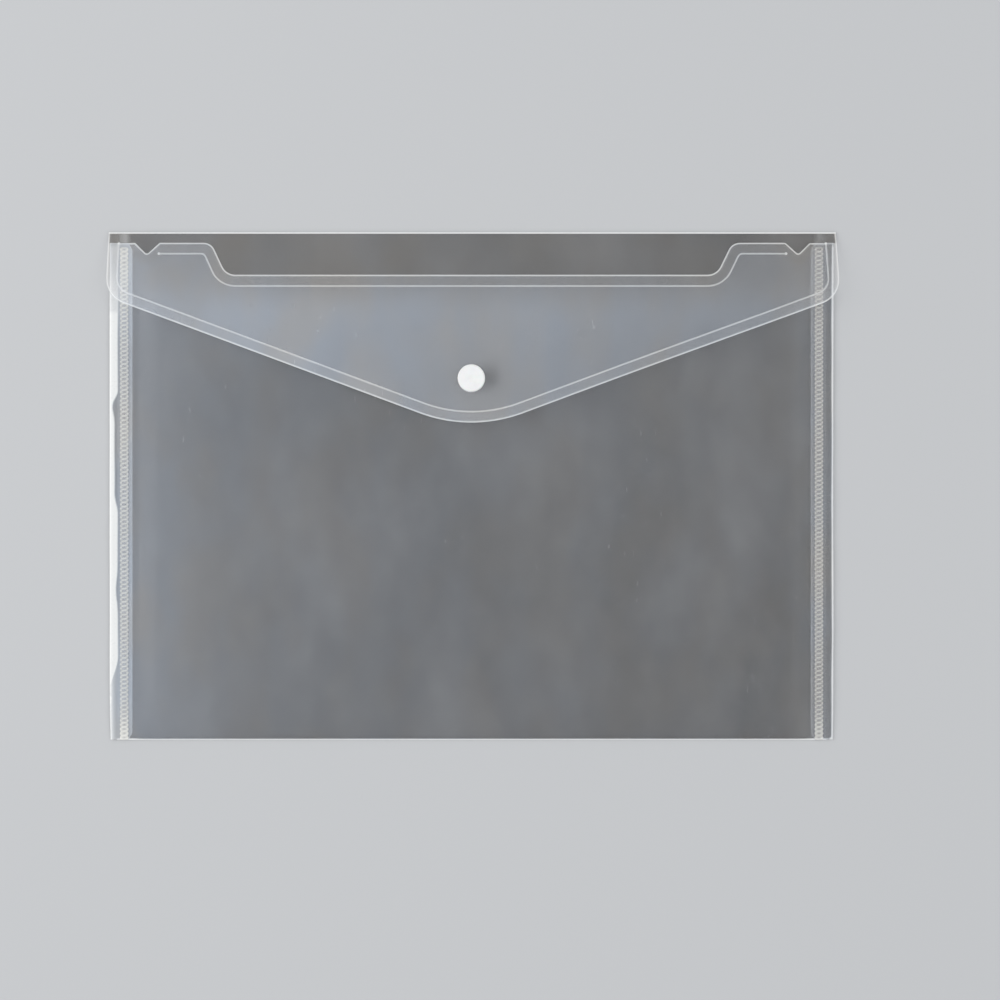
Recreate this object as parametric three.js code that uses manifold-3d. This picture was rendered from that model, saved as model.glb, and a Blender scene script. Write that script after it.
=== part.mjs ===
// A clear film file pocket for A4 papers, lying on its back with its flap snapped shut.
// Millimetres. +X runs across the pocket, +Y from the bottom crease to the flap's crease, +Z up.
// The origin is on the table, under the middle of the pocket.
// The real pocket is one die-cut sheet of film, folded and welded, with a four-piece press stud.
// Each panel, fold and weld of that sheet is a mesh of its own here.
import * as THREE from "three";
import { mergeVertices } from "three/addons/utils/BufferGeometryUtils.js";
import Module from "manifold-3d";

const wasm = await Module();
wasm.setup();

// Film and pocket
const film = 0.2; // thickness of the sheet
const pocketWidth = 335; // over the side folds
const pocketHeight = 235; // over the bottom and top creases
const frontRise = 5.4; // how far the filled front stands above the welded edge
const edgeRoll = 5.2; // the front has risen by two thirds this far from a seam
const cornerBlend = 4; // higher makes a sharper hip line at the pocket's bottom corners
const rollLines = [0, 1, 2.5, 4.5, 7.5, 11, 16, 23]; // distances from a seam where the front is measured
const leastStep = 0.35; // two lines of points across the front lie no closer than this

// Side folds: the back panel's side lips wrap over the front panel and are welded down
const lipWidth = 10.5; // from the fold's outside to the lip's cut edge
const sideFoldRise = 1.5; // height of the loose loop at the fold
const weldOffset = 4.6; // from the fold's outside to the weld's near side
const lipClipHeight = 3; // the lip's inner corners are clipped off this far up
const frontPastWeld = 1.3; // the front panel's hidden side edge runs this far past the weld

// Knurled weld
const weldWidth = 4.2;
const weldWaist = 3.2; // width between two rings of the knurl
const weldPitch = 2;
const weldRise = 0.12;
const weldStart = 1.5; // bare film between the lip's top end and the first ring, at least

// Front panel's top edge
const mouthDrop = 5; // from the top crease to the shoulders of the front panel
const recessDepth = 15.2;
const recessInset = 58; // from the fold's outside to the end of the recess's level middle
const shoulderRadius = 4.5;
const footRadius = 5.5;
const recessSlope = THREE.MathUtils.degToRad(63.4);
const notchInset = 16.7; // from the fold's outside to the notch's middle
const notchHalfWidth = 5.7;
const notchDepth = 5.1;

// Flap
const flapOverhang = 0.5; // the flap is this much wider than the folded pocket, on each side
const flapLength = 88.4; // from the top crease's outside to the tip
const flapSlope = THREE.MathUtils.degToRad(20.4);
const tipRadius = 68;
const cornerRadius = 12.5;
const flapSweep = 2.6; // power of the curve by which the flap rises from its crease
const flapFlat = 7.5; // the flap is level from this far above the stud's middle
const mouthClearance = 0.35; // air between the closed flap and the front panel's mouth

// Pressed border lines
const flapBorderInset = 5;
const flapBorderStart = 3.4; // from the crease to where the flap's line begins
const frontBorderInset = 4.8;
const frontBorderStop = 21.5; // from the fold's outside to the end of the front's line
const borderWidth = 0.8;
const borderRise = 0.12;

// Press stud
const studDrop = 68; // from the top crease's outside to the stud's middle
const capDiameter = 12.6;
const capThickness = 1.2;
const capEdge = 0.75; // height of the cap's rim
const postDiameter = 2;
const postClearance = 0.3;
const rivetDiameter = 3.1;
const rivetThickness = 0.35;
const discDiameter = 10.6; // of the socket and of the stud's base
const socketHeight = 2.4;
const socketFloor = 0.7;
const socketFlange = 0.9;
const socketRing = 8.8; // outside diameter of the ring that grips the knob
const studBase = 0.8;
const knobDiameter = 4.9;
const knobHeight = 1.3;
const knobWall = 0.6;
const knobUndercut = 0.15; // the knob is this much narrower at its foot
const knobWidest = 0.65; // share of the knob's height at which it is widest
const gripClearance = 0.3; // round the knob, inside the socket
const snapGap = 0.2; // between the socket's ring and the stud's base

// Levels and lines that follow from the sizes above
const creaseRadius = 1.5 * film;
const creaseGap = 0.3;
const axisY = pocketHeight / 2 - creaseRadius;
const axisZ = creaseRadius;
const bottomRadius = film;
const bottomY = -pocketHeight / 2 + bottomRadius;
const backTop = film;
const seatTop = 2 * film; // top of the front panel where it is welded
const lipTop = 3 * film;
const foldX = pocketWidth / 2;
const bendRadius = (sideFoldRise - film) / 2;
const bendX = foldX - film / 2 - bendRadius;
const lipX = foldX - lipWidth;
const weldOuterX = foldX - weldOffset;
const weldX = weldOuterX - weldWidth / 2;
const shoulderY = pocketHeight / 2 - mouthDrop;
const recessY = shoulderY - recessDepth;
const recessX = foldX - recessInset;
const notchX = foldX - notchInset;
const frontBorderX = foldX - frontBorderStop;
const flapHalfWidth = foldX + flapOverhang;
const frontTop = backTop + frontRise + film;
const studY = pocketHeight / 2 - studDrop;
const flapStartY = axisY - creaseRadius;
const flapUnder = frontTop + studBase + snapGap + socketHeight;
const flatReach = flapStartY - studY - flapFlat;

const shades = {
  film: new THREE.MeshStandardMaterial({ color: 0xb4bfc9, roughness: 0.22, transparent: true, opacity: 0.4 }),
  weld: new THREE.MeshStandardMaterial({ color: 0xd9ddd6, roughness: 0.45, transparent: true, opacity: 0.7 }),
  stud: new THREE.MeshStandardMaterial({ color: 0xf4f4f2, roughness: 0.35 }),
};

// Solids from grids of points

// Collects quads, merges equal points and drops the triangles that collapse.
class Skin {
  constructor() {
    this.keys = new Map();
    this.points = [];
    this.triangles = [];
  }

  index(p) {
    const key = p.map((v) => Math.round(v * 1e4)).join(",");
    if (!this.keys.has(key)) {
      this.keys.set(key, this.points.length / 3);
      this.points.push(...p);
    }
    return this.keys.get(key);
  }

  triangle(a, b, c) {
    const t = [a, b, c].map((p) => this.index(p));
    if (new Set(t).size === 3) this.triangles.push(...t);
  }

  quad(a, b, c, d) {
    this.triangle(a, b, c);
    this.triangle(a, c, d);
  }

  geometry() {
    const g = new THREE.BufferGeometry();
    g.setAttribute("position", new THREE.Float32BufferAttribute(this.points, 3));
    g.setIndex(this.triangles);
    g.computeVertexNormals();
    return g;
  }
}

// A sheet of film between two grids of points. A last row that runs out and back along one line, as at the
// flap's tip, is closed by its own walls.
function sheet(top, bottom, { foldedEnd = false } = {}) {
  const skin = new Skin();
  const face = (a, b, c, d) => skin.quad(d, c, b, a);
  const rows = top.length - 1;
  const columns = top[0].length - 1;
  for (let i = 0; i < rows; i++) {
    for (let j = 0; j < columns; j++) {
      face(top[i][j], top[i][j + 1], top[i + 1][j + 1], top[i + 1][j]);
      face(bottom[i + 1][j], bottom[i + 1][j + 1], bottom[i][j + 1], bottom[i][j]);
    }
    face(bottom[i][0], top[i][0], top[i + 1][0], bottom[i + 1][0]);
    face(top[i][columns], bottom[i][columns], bottom[i + 1][columns], top[i + 1][columns]);
  }
  for (let j = 0; j < columns; j++) {
    face(bottom[0][j], bottom[0][j + 1], top[0][j + 1], top[0][j]);
    if (!foldedEnd) face(top[rows][j], top[rows][j + 1], bottom[rows][j + 1], bottom[rows][j]);
  }
  return skin.geometry();
}

function solidOf(geometry) {
  const bare = geometry.clone();
  bare.deleteAttribute("normal");
  bare.deleteAttribute("uv");
  const merged = mergeVertices(bare, 1e-4);
  return new wasm.Manifold(
    new wasm.Mesh({
      numProp: 3,
      vertProperties: merged.attributes.position.array,
      triVerts: new Uint32Array(merged.index.array),
    }),
  );
}

function geometryOf(solid) {
  const mesh = solid.getMesh();
  const g = new THREE.BufferGeometry();
  g.setAttribute("position", new THREE.Float32BufferAttribute(Float32Array.from(mesh.vertProperties), 3));
  g.setIndex(Array.from(mesh.triVerts));
  g.computeVertexNormals();
  return g;
}

const cut = (geometry, ...tools) =>
  geometryOf(tools.reduce((left, tool) => left.subtract(solidOf(tool)), solidOf(geometry)));

// A hole for a stud's post through the film whose underside is at the given height.
function postHole(height) {
  const radius = postDiameter / 2 + postClearance;
  const hole = new THREE.CylinderGeometry(radius, radius, 4 * film, 24);
  return hole.rotateX(Math.PI / 2).translate(0, studY, height + film / 2);
}

// A plan outline, as [x, y] points, carried up from one height to another.
function plate(outline, low, high) {
  const shape = new THREE.Shape(outline.map(([x, y]) => new THREE.Vector2(x, y)));
  const g = new THREE.ExtrudeGeometry(shape, { depth: high - low, bevelEnabled: false });
  return g.translate(0, 0, low);
}

// A section in X and Z, as [x, z] points, carried along Y.
function railAlongY(section, lowY, highY) {
  const shape = new THREE.Shape(section.map(([x, z]) => new THREE.Vector2(x, z)));
  const g = new THREE.ExtrudeGeometry(shape, { depth: highY - lowY, bevelEnabled: false });
  return g.rotateX(Math.PI / 2).translate(0, highY, 0);
}

// A section in Y and Z, as [y, z] points, carried along X from -halfLength to halfLength.
function railAlongX(section, halfLength) {
  const shape = new THREE.Shape(section.map(([y, z]) => new THREE.Vector2(y, z)));
  const g = new THREE.ExtrudeGeometry(shape, { depth: 2 * halfLength, bevelEnabled: false });
  return g.rotateX(Math.PI / 2).rotateZ(Math.PI / 2).translate(-halfLength, 0, 0);
}

// Points on an arc, from one angle to another, in count steps.
const arc = (x, y, r, from, to, count) =>
  Array.from({ length: count + 1 }, (_, i) => {
    const a = from + ((to - from) * i) / count;
    return [x + r * Math.cos(a), y + r * Math.sin(a)];
  });

const mirrored = (points) => points.map(([x, y]) => [-x, y]).reverse();

// Shapes of the film

// Height of the closed flap's underside at a distance from its crease: it springs up from the crease and
// levels off before it reaches the stud.
function flapHeight(reach) {
  const left = Math.max(0, 1 - Math.max(0, reach) / flatReach);
  return seatTop + (flapUnder - seatTop) * (1 - left ** flapSweep);
}

// Height of the front panel's underside: welded down at the sides and creased at the bottom, it rolls up
// quickly to a level front, and near the mouth it stays under the flap.
function frontHeight(x, y) {
  const fromSide = Math.max(0, lipX - Math.abs(x));
  const fromBottom = Math.max(0, y - bottomY);
  const fall = (distance) => Math.exp((-cornerBlend * distance) / edgeRoll);
  const left = (fall(fromSide) + fall(fromBottom)) ** (1 / cornerBlend);
  const rolled = backTop + frontRise * Math.max(0, 1 - left);
  const pressed = flapHeight(flapStartY - y) - mouthClearance - film;
  return Math.max(backTop, Math.min(rolled, pressed));
}

// Half of the front panel's top edge, from the middle to the side, as [x, y] points.
function mouthEdge() {
  const rise = recessDepth - (shoulderRadius + footRadius) * (1 - Math.cos(recessSlope));
  const run = rise / Math.tan(recessSlope) + (shoulderRadius + footRadius) * Math.sin(recessSlope);
  const up = Math.PI / 2;
  return [
    [0, recessY],
    ...arc(recessX, recessY + footRadius, footRadius, -up, recessSlope - up, 5),
    ...arc(recessX + run, shoulderY - shoulderRadius, shoulderRadius, up + recessSlope, up, 5),
    [frontBorderX - borderWidth, shoulderY],
    [notchX - notchHalfWidth, shoulderY],
    [notchX, shoulderY - notchDepth],
    [notchX + notchHalfWidth, shoulderY],
    [weldOuterX + frontPastWeld, shoulderY],
  ];
}

// Height of a polyline at x.
function along(points, x) {
  const i = Math.max(1, points.findIndex(([px]) => px >= x - 1e-9));
  const [[x0, y0], [x1, y1]] = [points[i - 1], points[i]];
  return y0 + ((y1 - y0) * (x - x0)) / Math.max(1e-9, x1 - x0);
}

function frontPanel() {
  const edge = mouthEdge();
  const sideX = weldOuterX + frontPastWeld;
  const wanted = [...edge.map(([x]) => x), ...[0.25, 0.45, 0.65, 0.85].map((f) => f * recessX)];
  wanted.push(...rollLines.map((d) => lipX - d), (lipX + sideX) / 2);
  wanted.sort((a, b) => a - b);
  const half = wanted.filter((x, i) => i === 0 || x - wanted[i - 1] > leastStep || x === sideX);
  const columns = [...half.slice(1).reverse().map((x) => -x), ...half];

  const lower = rollLines.map((d) => bottomY + d);
  const upper = [0.2, 0.42, 0.62, 0.76, 0.86, 0.93]; // shares of the way from there to the pressed line
  const top = [];
  const bottom = [];
  for (const x of columns) {
    const end = along(edge, Math.abs(x));
    const line = end - frontBorderInset;
    const low = lower[lower.length - 1];
    const y = [
      ...lower,
      ...upper.map((f) => low + f * (line - borderWidth / 2 - low)),
      line - borderWidth / 2,
      line,
      line + borderWidth / 2,
      (line + borderWidth / 2 + end) / 2,
      end,
    ];
    const ridge = lower.length + upper.length + 1;
    const pressed = Math.abs(x) < frontBorderX ? borderRise : 0;
    const under = y.map((v) => [x, v, frontHeight(x, v)]);
    bottom.push(under);
    top.push(under.map(([px, py, pz], k) => [px, py, pz + film + (k === ridge ? pressed : 0)]));
  }
  return cut(sheet(top, bottom), postHole(frontTop - film));
}

// Half of the flap's outline, from the crease round to the tip, as points with their inward normals.
function flapOutline() {
  const tipY = pocketHeight / 2 - flapLength;
  const apexY = tipY - tipRadius * (1 / Math.cos(flapSlope) - 1);
  const sideEnd = apexY + flapHalfWidth * Math.tan(flapSlope);
  const turn = Math.PI / 2 - flapSlope;
  const arcTop = sideEnd + cornerRadius * Math.tan(turn / 2);
  const points = [];
  for (const f of [0, 0.04, 0.1, 0.18, 0.3, 0.45, 0.62, 0.8]) {
    points.push({ x: flapHalfWidth, y: flapStartY + f * (arcTop - flapStartY), nx: -1, ny: 0 });
  }
  const cornerX = flapHalfWidth - cornerRadius;
  for (let i = 0; i <= 6; i++) {
    const a = (-turn * i) / 6;
    points.push({
      x: cornerX + cornerRadius * Math.cos(a),
      y: arcTop + cornerRadius * Math.sin(a),
      nx: -Math.cos(a),
      ny: -Math.sin(a),
    });
  }
  const from = points[points.length - 1];
  const tipStart = tipRadius * Math.sin(flapSlope);
  const levelY = flapStartY - flatReach - Math.cos(flapSlope) * (flapBorderInset + borderWidth / 2);
  const levelX = (levelY - apexY) / Math.tan(flapSlope);
  const stops = [0.12, 0.26, 0.42, 0.58, 0.74, 0.88].map((f) => from.x + f * (tipStart - from.x));
  stops.push(levelX);
  for (const x of stops.sort((a, b) => b - a)) {
    const y = apexY + x * Math.tan(flapSlope);
    points.push({ x, y, nx: -Math.sin(flapSlope), ny: Math.cos(flapSlope) });
  }
  for (let i = 0; i <= 6; i++) {
    const a = flapSlope * (1 - i / 6);
    points.push({
      x: tipRadius * Math.sin(a),
      y: tipY + tipRadius * (1 - Math.cos(a)),
      nx: -Math.sin(a),
      ny: Math.cos(a),
    });
  }
  return points;
}

function flapPanel() {
  const insets = [
    0,
    flapBorderInset - borderWidth / 2,
    flapBorderInset,
    flapBorderInset + borderWidth / 2,
  ];
  const top = [];
  const bottom = [];
  for (const p of flapOutline()) {
    const pressed = flapStartY - p.y > flapBorderStart ? borderRise : 0;
    const right = insets.map((d, k) => {
      const y = p.y + p.ny * d;
      return { x: p.x + p.nx * d, y, z: flapHeight(flapStartY - y), lift: k === 2 ? pressed : 0 };
    });
    const row = [...right.map((q) => ({ ...q, x: -q.x })), ...right.reverse()];
    bottom.push(row.map((q) => [q.x, q.y, q.z]));
    top.push(row.map((q) => [q.x, q.y, q.z + film + q.lift]));
  }
  return cut(sheet(top, bottom, { foldedEnd: true }), postHole(flapUnder));
}

// The back panel: level on the table, and a little wider past the ends of the side folds, up to the crease.
function backPanel() {
  const neckY = shoulderY + creaseGap;
  const endY = flapStartY - creaseGap;
  const right = [
    [bendX, bottomY],
    [bendX, neckY],
    [flapHalfWidth - creaseGap, neckY],
    [flapHalfWidth - creaseGap, endY],
  ];
  return plate([...right, ...mirrored(right)], 0, backTop);
}

// A side lip with its fold: from the back panel the film bends up round a loose loop and comes back over
// the front panel. The lip's two inner corners are clipped.
function sideFold(side) {
  const path = [
    [lipX, lipTop - film / 2],
    [weldOuterX, lipTop - film / 2],
  ];
  const loopTop = sideFoldRise - film / 2;
  for (const f of [0.25, 0.5, 0.75]) {
    const ease = f * f * (3 - 2 * f);
    path.push([weldOuterX + f * (bendX - weldOuterX), path[0][1] + ease * (loopTop - path[0][1])]);
  }
  path.push(...arc(bendX, film / 2 + bendRadius, bendRadius, Math.PI / 2, -Math.PI / 2, 10));
  const offset = (d) =>
    path.map(([x, z], i) => {
      const [a, b] = [path[Math.max(0, i - 1)], path[Math.min(path.length - 1, i + 1)]];
      const flat = i === 0 || i === path.length - 1;
      const [dx, dz] = flat ? [i === 0 ? 1 : -1, 0] : [b[0] - a[0], b[1] - a[1]];
      const length = Math.hypot(dx, dz);
      return [x - (dz / length) * d, z + (dx / length) * d];
    });
  const section = [...offset(film / 2), ...offset(-film / 2).reverse()];
  const clipX = weldX - weldWidth / 2;
  const spare = clipX - lipX; // how far each clipping tool stands past the lip
  const clip = (endY, inwardY) => {
    const corner = [
      [clipX, endY],
      [clipX, endY - inwardY * spare],
      [lipX - spare, endY - inwardY * spare],
      [lipX - spare, endY + inwardY * lipClipHeight],
      [lipX, endY + inwardY * lipClipHeight],
    ];
    return plate(corner, backTop, lipTop + spare);
  };
  const solid = cut(railAlongY(section, bottomY, shoulderY), clip(shoulderY, -1), clip(bottomY, 1));
  return side > 0 ? solid : mirrorX(solid);
}

// The same solid on the other side, with its faces turned back to point outwards.
function mirrorX(geometry) {
  const g = geometry.clone().scale(-1, 1, 1);
  const index = g.index.array;
  for (let i = 0; i < index.length; i += 3) {
    [index[i + 1], index[i + 2]] = [index[i + 2], index[i + 1]];
  }
  g.computeVertexNormals();
  return g;
}

// The knurled weld: a chain of low rings along each lip, wide at each ring and drawn in between two.
function weldSeam(side) {
  const count = Math.floor((shoulderY - weldStart - bottomY) / weldPitch);
  const x = side * weldX;
  const edge = [];
  for (let i = count; i > 0; i--) {
    const y = bottomY + i * weldPitch;
    edge.push([weldWaist / 2, y], [weldWidth / 2, y - weldPitch / 2]);
  }
  edge.push([weldWaist / 2, bottomY]);
  const right = edge.map(([w, y]) => [x + w, y]);
  const left = edge.map(([w, y]) => [x - w, y]).reverse();
  return plate([...left, ...right], lipTop, lipTop + weldRise);
}

// The folded film at the bottom: a tight half-round bead along the pocket's lower edge.
function bottomCrease() {
  const section = arc(bottomY, bottomRadius, bottomRadius, Math.PI / 2, (3 * Math.PI) / 2, 8);
  return railAlongX(section, weldOuterX + frontPastWeld);
}

// The flap's living hinge: the film creased round the axis on which the flap turns, with a short flat lip
// where the flap goes on from it.
function flapCrease() {
  const under = Math.PI - Math.asin((seatTop - axisZ) / creaseRadius);
  const section = [
    [flapStartY, seatTop],
    ...arc(axisY, axisZ, creaseRadius, under, 2.5 * Math.PI, 16),
    [flapStartY, axisZ + creaseRadius],
  ];
  return railAlongX(section, flapHalfWidth);
}

// Press stud

// A turned piece: its half section, as [radius, height] points from the axis round to the axis.
const turned = (section) => {
  const points = section.map(([r, z]) => new THREE.Vector2(r, z));
  return new THREE.LatheGeometry(points, 40).rotateX(Math.PI / 2);
};

// A cap with its post. Heights run up from the film that it lies on, and the post goes down through the
// film and a disc, and ends in a rivet head.
function cap(grip) {
  const r = capDiameter / 2;
  const crown = capThickness - capEdge;
  const head = -film - grip;
  return [
    [0, head - rivetThickness],
    [rivetDiameter / 2, head - rivetThickness],
    [rivetDiameter / 2, head],
    [postDiameter / 2, head],
    [postDiameter / 2, 0],
    [r, 0],
    ...arc(r - crown, capEdge, crown, 0, Math.PI / 2, 5),
    [0, capThickness],
  ];
}

const snapCap = () => turned(cap(socketFloor)).translate(0, studY, flapUnder + film);

const backingCap = () =>
  turned(cap(studBase)).rotateX(Math.PI).translate(0, studY, frontTop - film);

function snapSocket() {
  const bore = knobDiameter / 2 + gripClearance;
  const section = [
    [postDiameter / 2 + postClearance, -socketFloor],
    [bore, -socketFloor],
    [bore, -socketHeight],
    [socketRing / 2, -socketHeight],
    [socketRing / 2, -socketFlange],
    [discDiameter / 2, -socketFlange],
    [discDiameter / 2, 0],
    [postDiameter / 2 + postClearance, 0],
    [postDiameter / 2 + postClearance, -socketFloor],
  ];
  return turned(section).translate(0, studY, flapUnder);
}

function snapStud() {
  const r = knobDiameter / 2;
  const hole = postDiameter / 2 + postClearance;
  const section = [
    [hole, 0],
    [discDiameter / 2, 0],
    [discDiameter / 2, studBase],
    [r - knobUndercut, studBase],
    [r, studBase + knobHeight * knobWidest],
    [r - knobUndercut, studBase + knobHeight],
    [r - knobWall, studBase + knobHeight],
    [r - knobWall, studBase],
    [hole, studBase],
    [hole, 0],
  ];
  return turned(section).translate(0, studY, frontTop);
}

// Assembly

function piece(name, geometry, shade) {
  const mesh = new THREE.Mesh(geometry, shades[shade]);
  mesh.name = name;
  return mesh;
}

const pocket = new THREE.Group();
pocket.add(
  piece("back_panel", backPanel(), "film"),
  piece("front_panel", frontPanel(), "film"),
  piece("bottom_crease", bottomCrease(), "film"),
  piece("left_side_fold", sideFold(-1), "film"),
  piece("right_side_fold", sideFold(1), "film"),
  piece("left_weld_seam", weldSeam(-1), "weld"),
  piece("right_weld_seam", weldSeam(1), "weld"),
  piece("snap_stud", snapStud(), "stud"),
  piece("snap_backing_cap", backingCap(), "stud"),
);

const flap = new THREE.Group();
flap.add(
  piece("flap_panel", flapPanel(), "film"),
  piece("flap_crease", flapCrease(), "film"),
  piece("snap_cap", snapCap(), "stud"),
  piece("snap_socket", snapSocket(), "stud"),
);

const filePocket = new THREE.Group();
filePocket.add(pocket, flap);

export default filePocket;
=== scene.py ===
import math

import bpy
import numpy as np
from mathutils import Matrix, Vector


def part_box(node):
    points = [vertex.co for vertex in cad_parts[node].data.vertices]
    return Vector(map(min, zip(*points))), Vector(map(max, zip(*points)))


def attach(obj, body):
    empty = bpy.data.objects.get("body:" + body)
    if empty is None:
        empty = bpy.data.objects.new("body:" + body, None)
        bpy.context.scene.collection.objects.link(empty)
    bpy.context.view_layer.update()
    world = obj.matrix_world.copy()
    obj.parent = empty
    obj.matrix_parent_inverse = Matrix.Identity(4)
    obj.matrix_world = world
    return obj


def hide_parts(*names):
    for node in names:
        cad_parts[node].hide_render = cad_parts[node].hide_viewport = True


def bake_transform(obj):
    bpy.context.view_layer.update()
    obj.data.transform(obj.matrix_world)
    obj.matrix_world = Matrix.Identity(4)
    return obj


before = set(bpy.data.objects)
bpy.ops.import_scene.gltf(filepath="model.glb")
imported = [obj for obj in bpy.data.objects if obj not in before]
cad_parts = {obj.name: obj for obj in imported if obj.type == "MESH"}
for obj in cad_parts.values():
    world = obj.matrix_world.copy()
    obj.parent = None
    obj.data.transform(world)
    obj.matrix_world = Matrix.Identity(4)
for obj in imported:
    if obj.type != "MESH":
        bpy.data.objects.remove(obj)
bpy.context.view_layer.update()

# A clear film file pocket, shut and lying on its back. Metres; +X runs across the pocket, +Y from the
# bottom crease to the flap's crease, +Z up. The film is one sheet in the real pocket: here the back with
# its side lips is one piece, the front another, and the flap with its crease a third.

mm = 0.001
print("frame loaded")

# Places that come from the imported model
foldLow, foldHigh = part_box("right_side_fold")
frontLow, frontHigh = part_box("front_panel")
flapLow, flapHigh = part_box("flap_panel")
backLow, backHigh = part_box("back_panel")
creaseLow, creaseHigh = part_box("flap_crease")
weldLow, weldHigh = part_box("right_weld_seam")
capLow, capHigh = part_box("snap_cap")
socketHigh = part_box("snap_socket")[1]
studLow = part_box("snap_stud")[0]

film = backHigh.z - backLow.z  # thickness of the sheet
foldX = foldHigh.x  # outside of the side folds
lipX = foldLow.x  # cut edge of the side lips
shoulderY = frontHigh.y  # top of the front, on both sides of its recess
bottomY = frontLow.y
frontSideX = frontHigh.x  # the front's side edge, hidden under the lip
flapX = flapHigh.x
flapTipY = flapLow.y
flapStartY = flapHigh.y
seatTop = flapLow.z  # underside of the flap's film where it starts
axisY = (creaseLow.y + creaseHigh.y) / 2
axisZ = (creaseLow.z + creaseHigh.z) / 2
studY = (capLow.y + capHigh.y) / 2
frontTop = studLow.z
flapUnder = socketHigh.z
weldX = (weldLow.x + weldHigh.x) / 2

# Mesh helpers

pointsPerMetre = 4e6  # points that round to the same whole number of these are one point
rimInsets = np.array([0, 0.02, 0.05, 0.1, 0.2, 0.35, 0.6, 0.95]) * mm  # lines of points inside a cut edge


# Puts a new object with its mesh, camera or lamp into the scene.
def added(name, data):
    thing = bpy.data.objects.new(name, data)
    bpy.context.scene.collection.objects.link(thing)
    return thing


# Builds a mesh from an array of points and an array of quads by point number. The quads are turned outwards
# if the volume that they enclose, a sixth of the sum of the corners' triple products, comes out negative.
# Equal points become one, a quad that loses a corner becomes a triangle or goes, and two quads that lie back
# to back both go, so seams and poles are closed.
def meshFrom(name, points, quads, material, masks):
    a, b, c, d = (points[quads[:, k]] for k in range(4))
    if np.einsum("ij,ij->", a, np.cross(b, c) + np.cross(c, d)) < 0:
        quads = quads[:, ::-1]
    keys = np.round(points * pointsPerMetre).astype(np.int64)
    _, first, merged = np.unique(keys, axis=0, return_index=True, return_inverse=True)
    merged = merged.ravel()
    points = points[first]
    quads = merged[quads]
    _, same, twice = np.unique(np.sort(quads, axis=1), axis=0, return_inverse=True, return_counts=True)
    quads = quads[twice[same.ravel()] == 1]
    clash = [quads[:, k] == quads[:, (k + 1) % 4] for k in range(4)]
    lost = sum(c.astype(int) for c in clash)
    folded = (quads[:, 0] == quads[:, 2]) | (quads[:, 1] == quads[:, 3])
    whole = quads[(lost == 0) & ~folded]
    corners = []
    for k in range(4):
        some = quads[(lost == 1) & clash[k] & ~folded]
        corners.append(some[:, [(k + 1) % 4, (k + 2) % 4, (k + 3) % 4]])
    corners = np.concatenate(corners)
    loops = np.concatenate([whole.ravel(), corners.ravel()])
    sizes = np.concatenate([np.full(len(whole), 4), np.full(len(corners), 3)])
    starts = np.concatenate([[0], np.cumsum(sizes)[:-1]])
    mesh = bpy.data.meshes.new(name)
    mesh.vertices.add(len(points))
    mesh.vertices.foreach_set("co", points.astype(np.float32).ravel())
    mesh.loops.add(len(loops))
    mesh.loops.foreach_set("vertex_index", loops.astype(np.int32))
    mesh.polygons.add(len(sizes))
    mesh.polygons.foreach_set("loop_start", starts.astype(np.int32))
    mesh.polygons.foreach_set("loop_total", sizes.astype(np.int32))
    mesh.polygons.foreach_set("use_smooth", np.ones(len(sizes), bool))
    mesh.update(calc_edges=True)
    for mask, values in masks.items():
        layer = mesh.attributes.new(mask, "FLOAT", "POINT")
        layer.data.foreach_set("value", np.broadcast_to(values, len(merged))[first].astype(np.float32))
    mesh.materials.append(material)
    return added(name, mesh)


# Point numbers of the quads of a closed sheet: an upper grid of rows by columns, numbered row by row, a lower
# grid numbered after it, and a wall along each of the four borders.
def sheetQuads(rows, columns):
    count = rows * columns
    number = np.arange(count).reshape(rows, columns)
    a, b = number[:-1, :-1].ravel(), number[1:, :-1].ravel()
    upper = np.stack([a, a + 1, b + 1, b], axis=1)
    quads = [upper, upper[:, ::-1] + count]
    for line in (number[0, ::-1], number[-1], number[:, 0], number[::-1, -1]):
        quads.append(np.stack([line[:-1], line[1:], line[1:] + count, line[:-1] + count], axis=1))
    return np.concatenate(quads)


# Point numbers of the quads of a tube: a grid of rows by columns whose last column is joined to its first.
def tubeQuads(rows, columns):
    number = np.arange(rows * columns).reshape(rows, columns)
    ring = np.concatenate([number, number[:, :1]], axis=1)
    return np.stack([ring[:-1, :-1], ring[:-1, 1:], ring[1:, 1:], ring[1:, :-1]], axis=-1).reshape(-1, 4)


# A closed film from its middle surface: the grid is moved up and down along its normals by half the
# thickness, and the two skins are joined along all four borders.
def filmFrom(name, middle, normal, half, masks):
    top = middle + normal * half[..., None]
    low = middle - normal * half[..., None]
    points = np.concatenate([top.reshape(-1, 3), low.reshape(-1, 3)])
    both = {mask: np.concatenate([values.ravel(), values.ravel()]) for mask, values in masks.items()}
    return meshFrom(name, points, sheetQuads(*middle.shape[:2]), clearFilm, both)


# Normals of a surface z(x, y), from its slope over a short step.
def slopeNormal(level, x, y):
    step = 0.05 * mm
    dx = (level(x + step, y) - level(x - step, y)) / (2 * step)
    dy = (level(x, y + step) - level(x, y - step)) / (2 * step)
    normal = np.stack([-dx, -dy, np.ones_like(dx)], axis=-1)
    return normal / np.linalg.norm(normal, axis=-1, keepdims=True)


# Half the film's thickness at a distance from its cut edge, which is rounded like half a circle.
def halfFilm(distance):
    r = film / 2
    inside = 1 - np.clip(distance / r, 0, 1)
    return r * np.sqrt(1 - inside**2)


# A mask that is 1 over the first two fifths of the way in from a cut edge and fades out over the rest.
def rimMask(distance, reach):
    return np.clip(1.7 * (1 - distance / reach), 0, 1)


# 0 before the start and 1 after the end, with a smooth step between them.
def smoothStep(value, start, end):
    t = np.clip((value - start) / (end - start), 0, 1)
    return t * t * (3 - 2 * t)


# An amount that grows from nothing at the start to its full size at the end.
def grown(value, amount, start, end):
    return amount * smoothStep(value, start, end)


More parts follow.
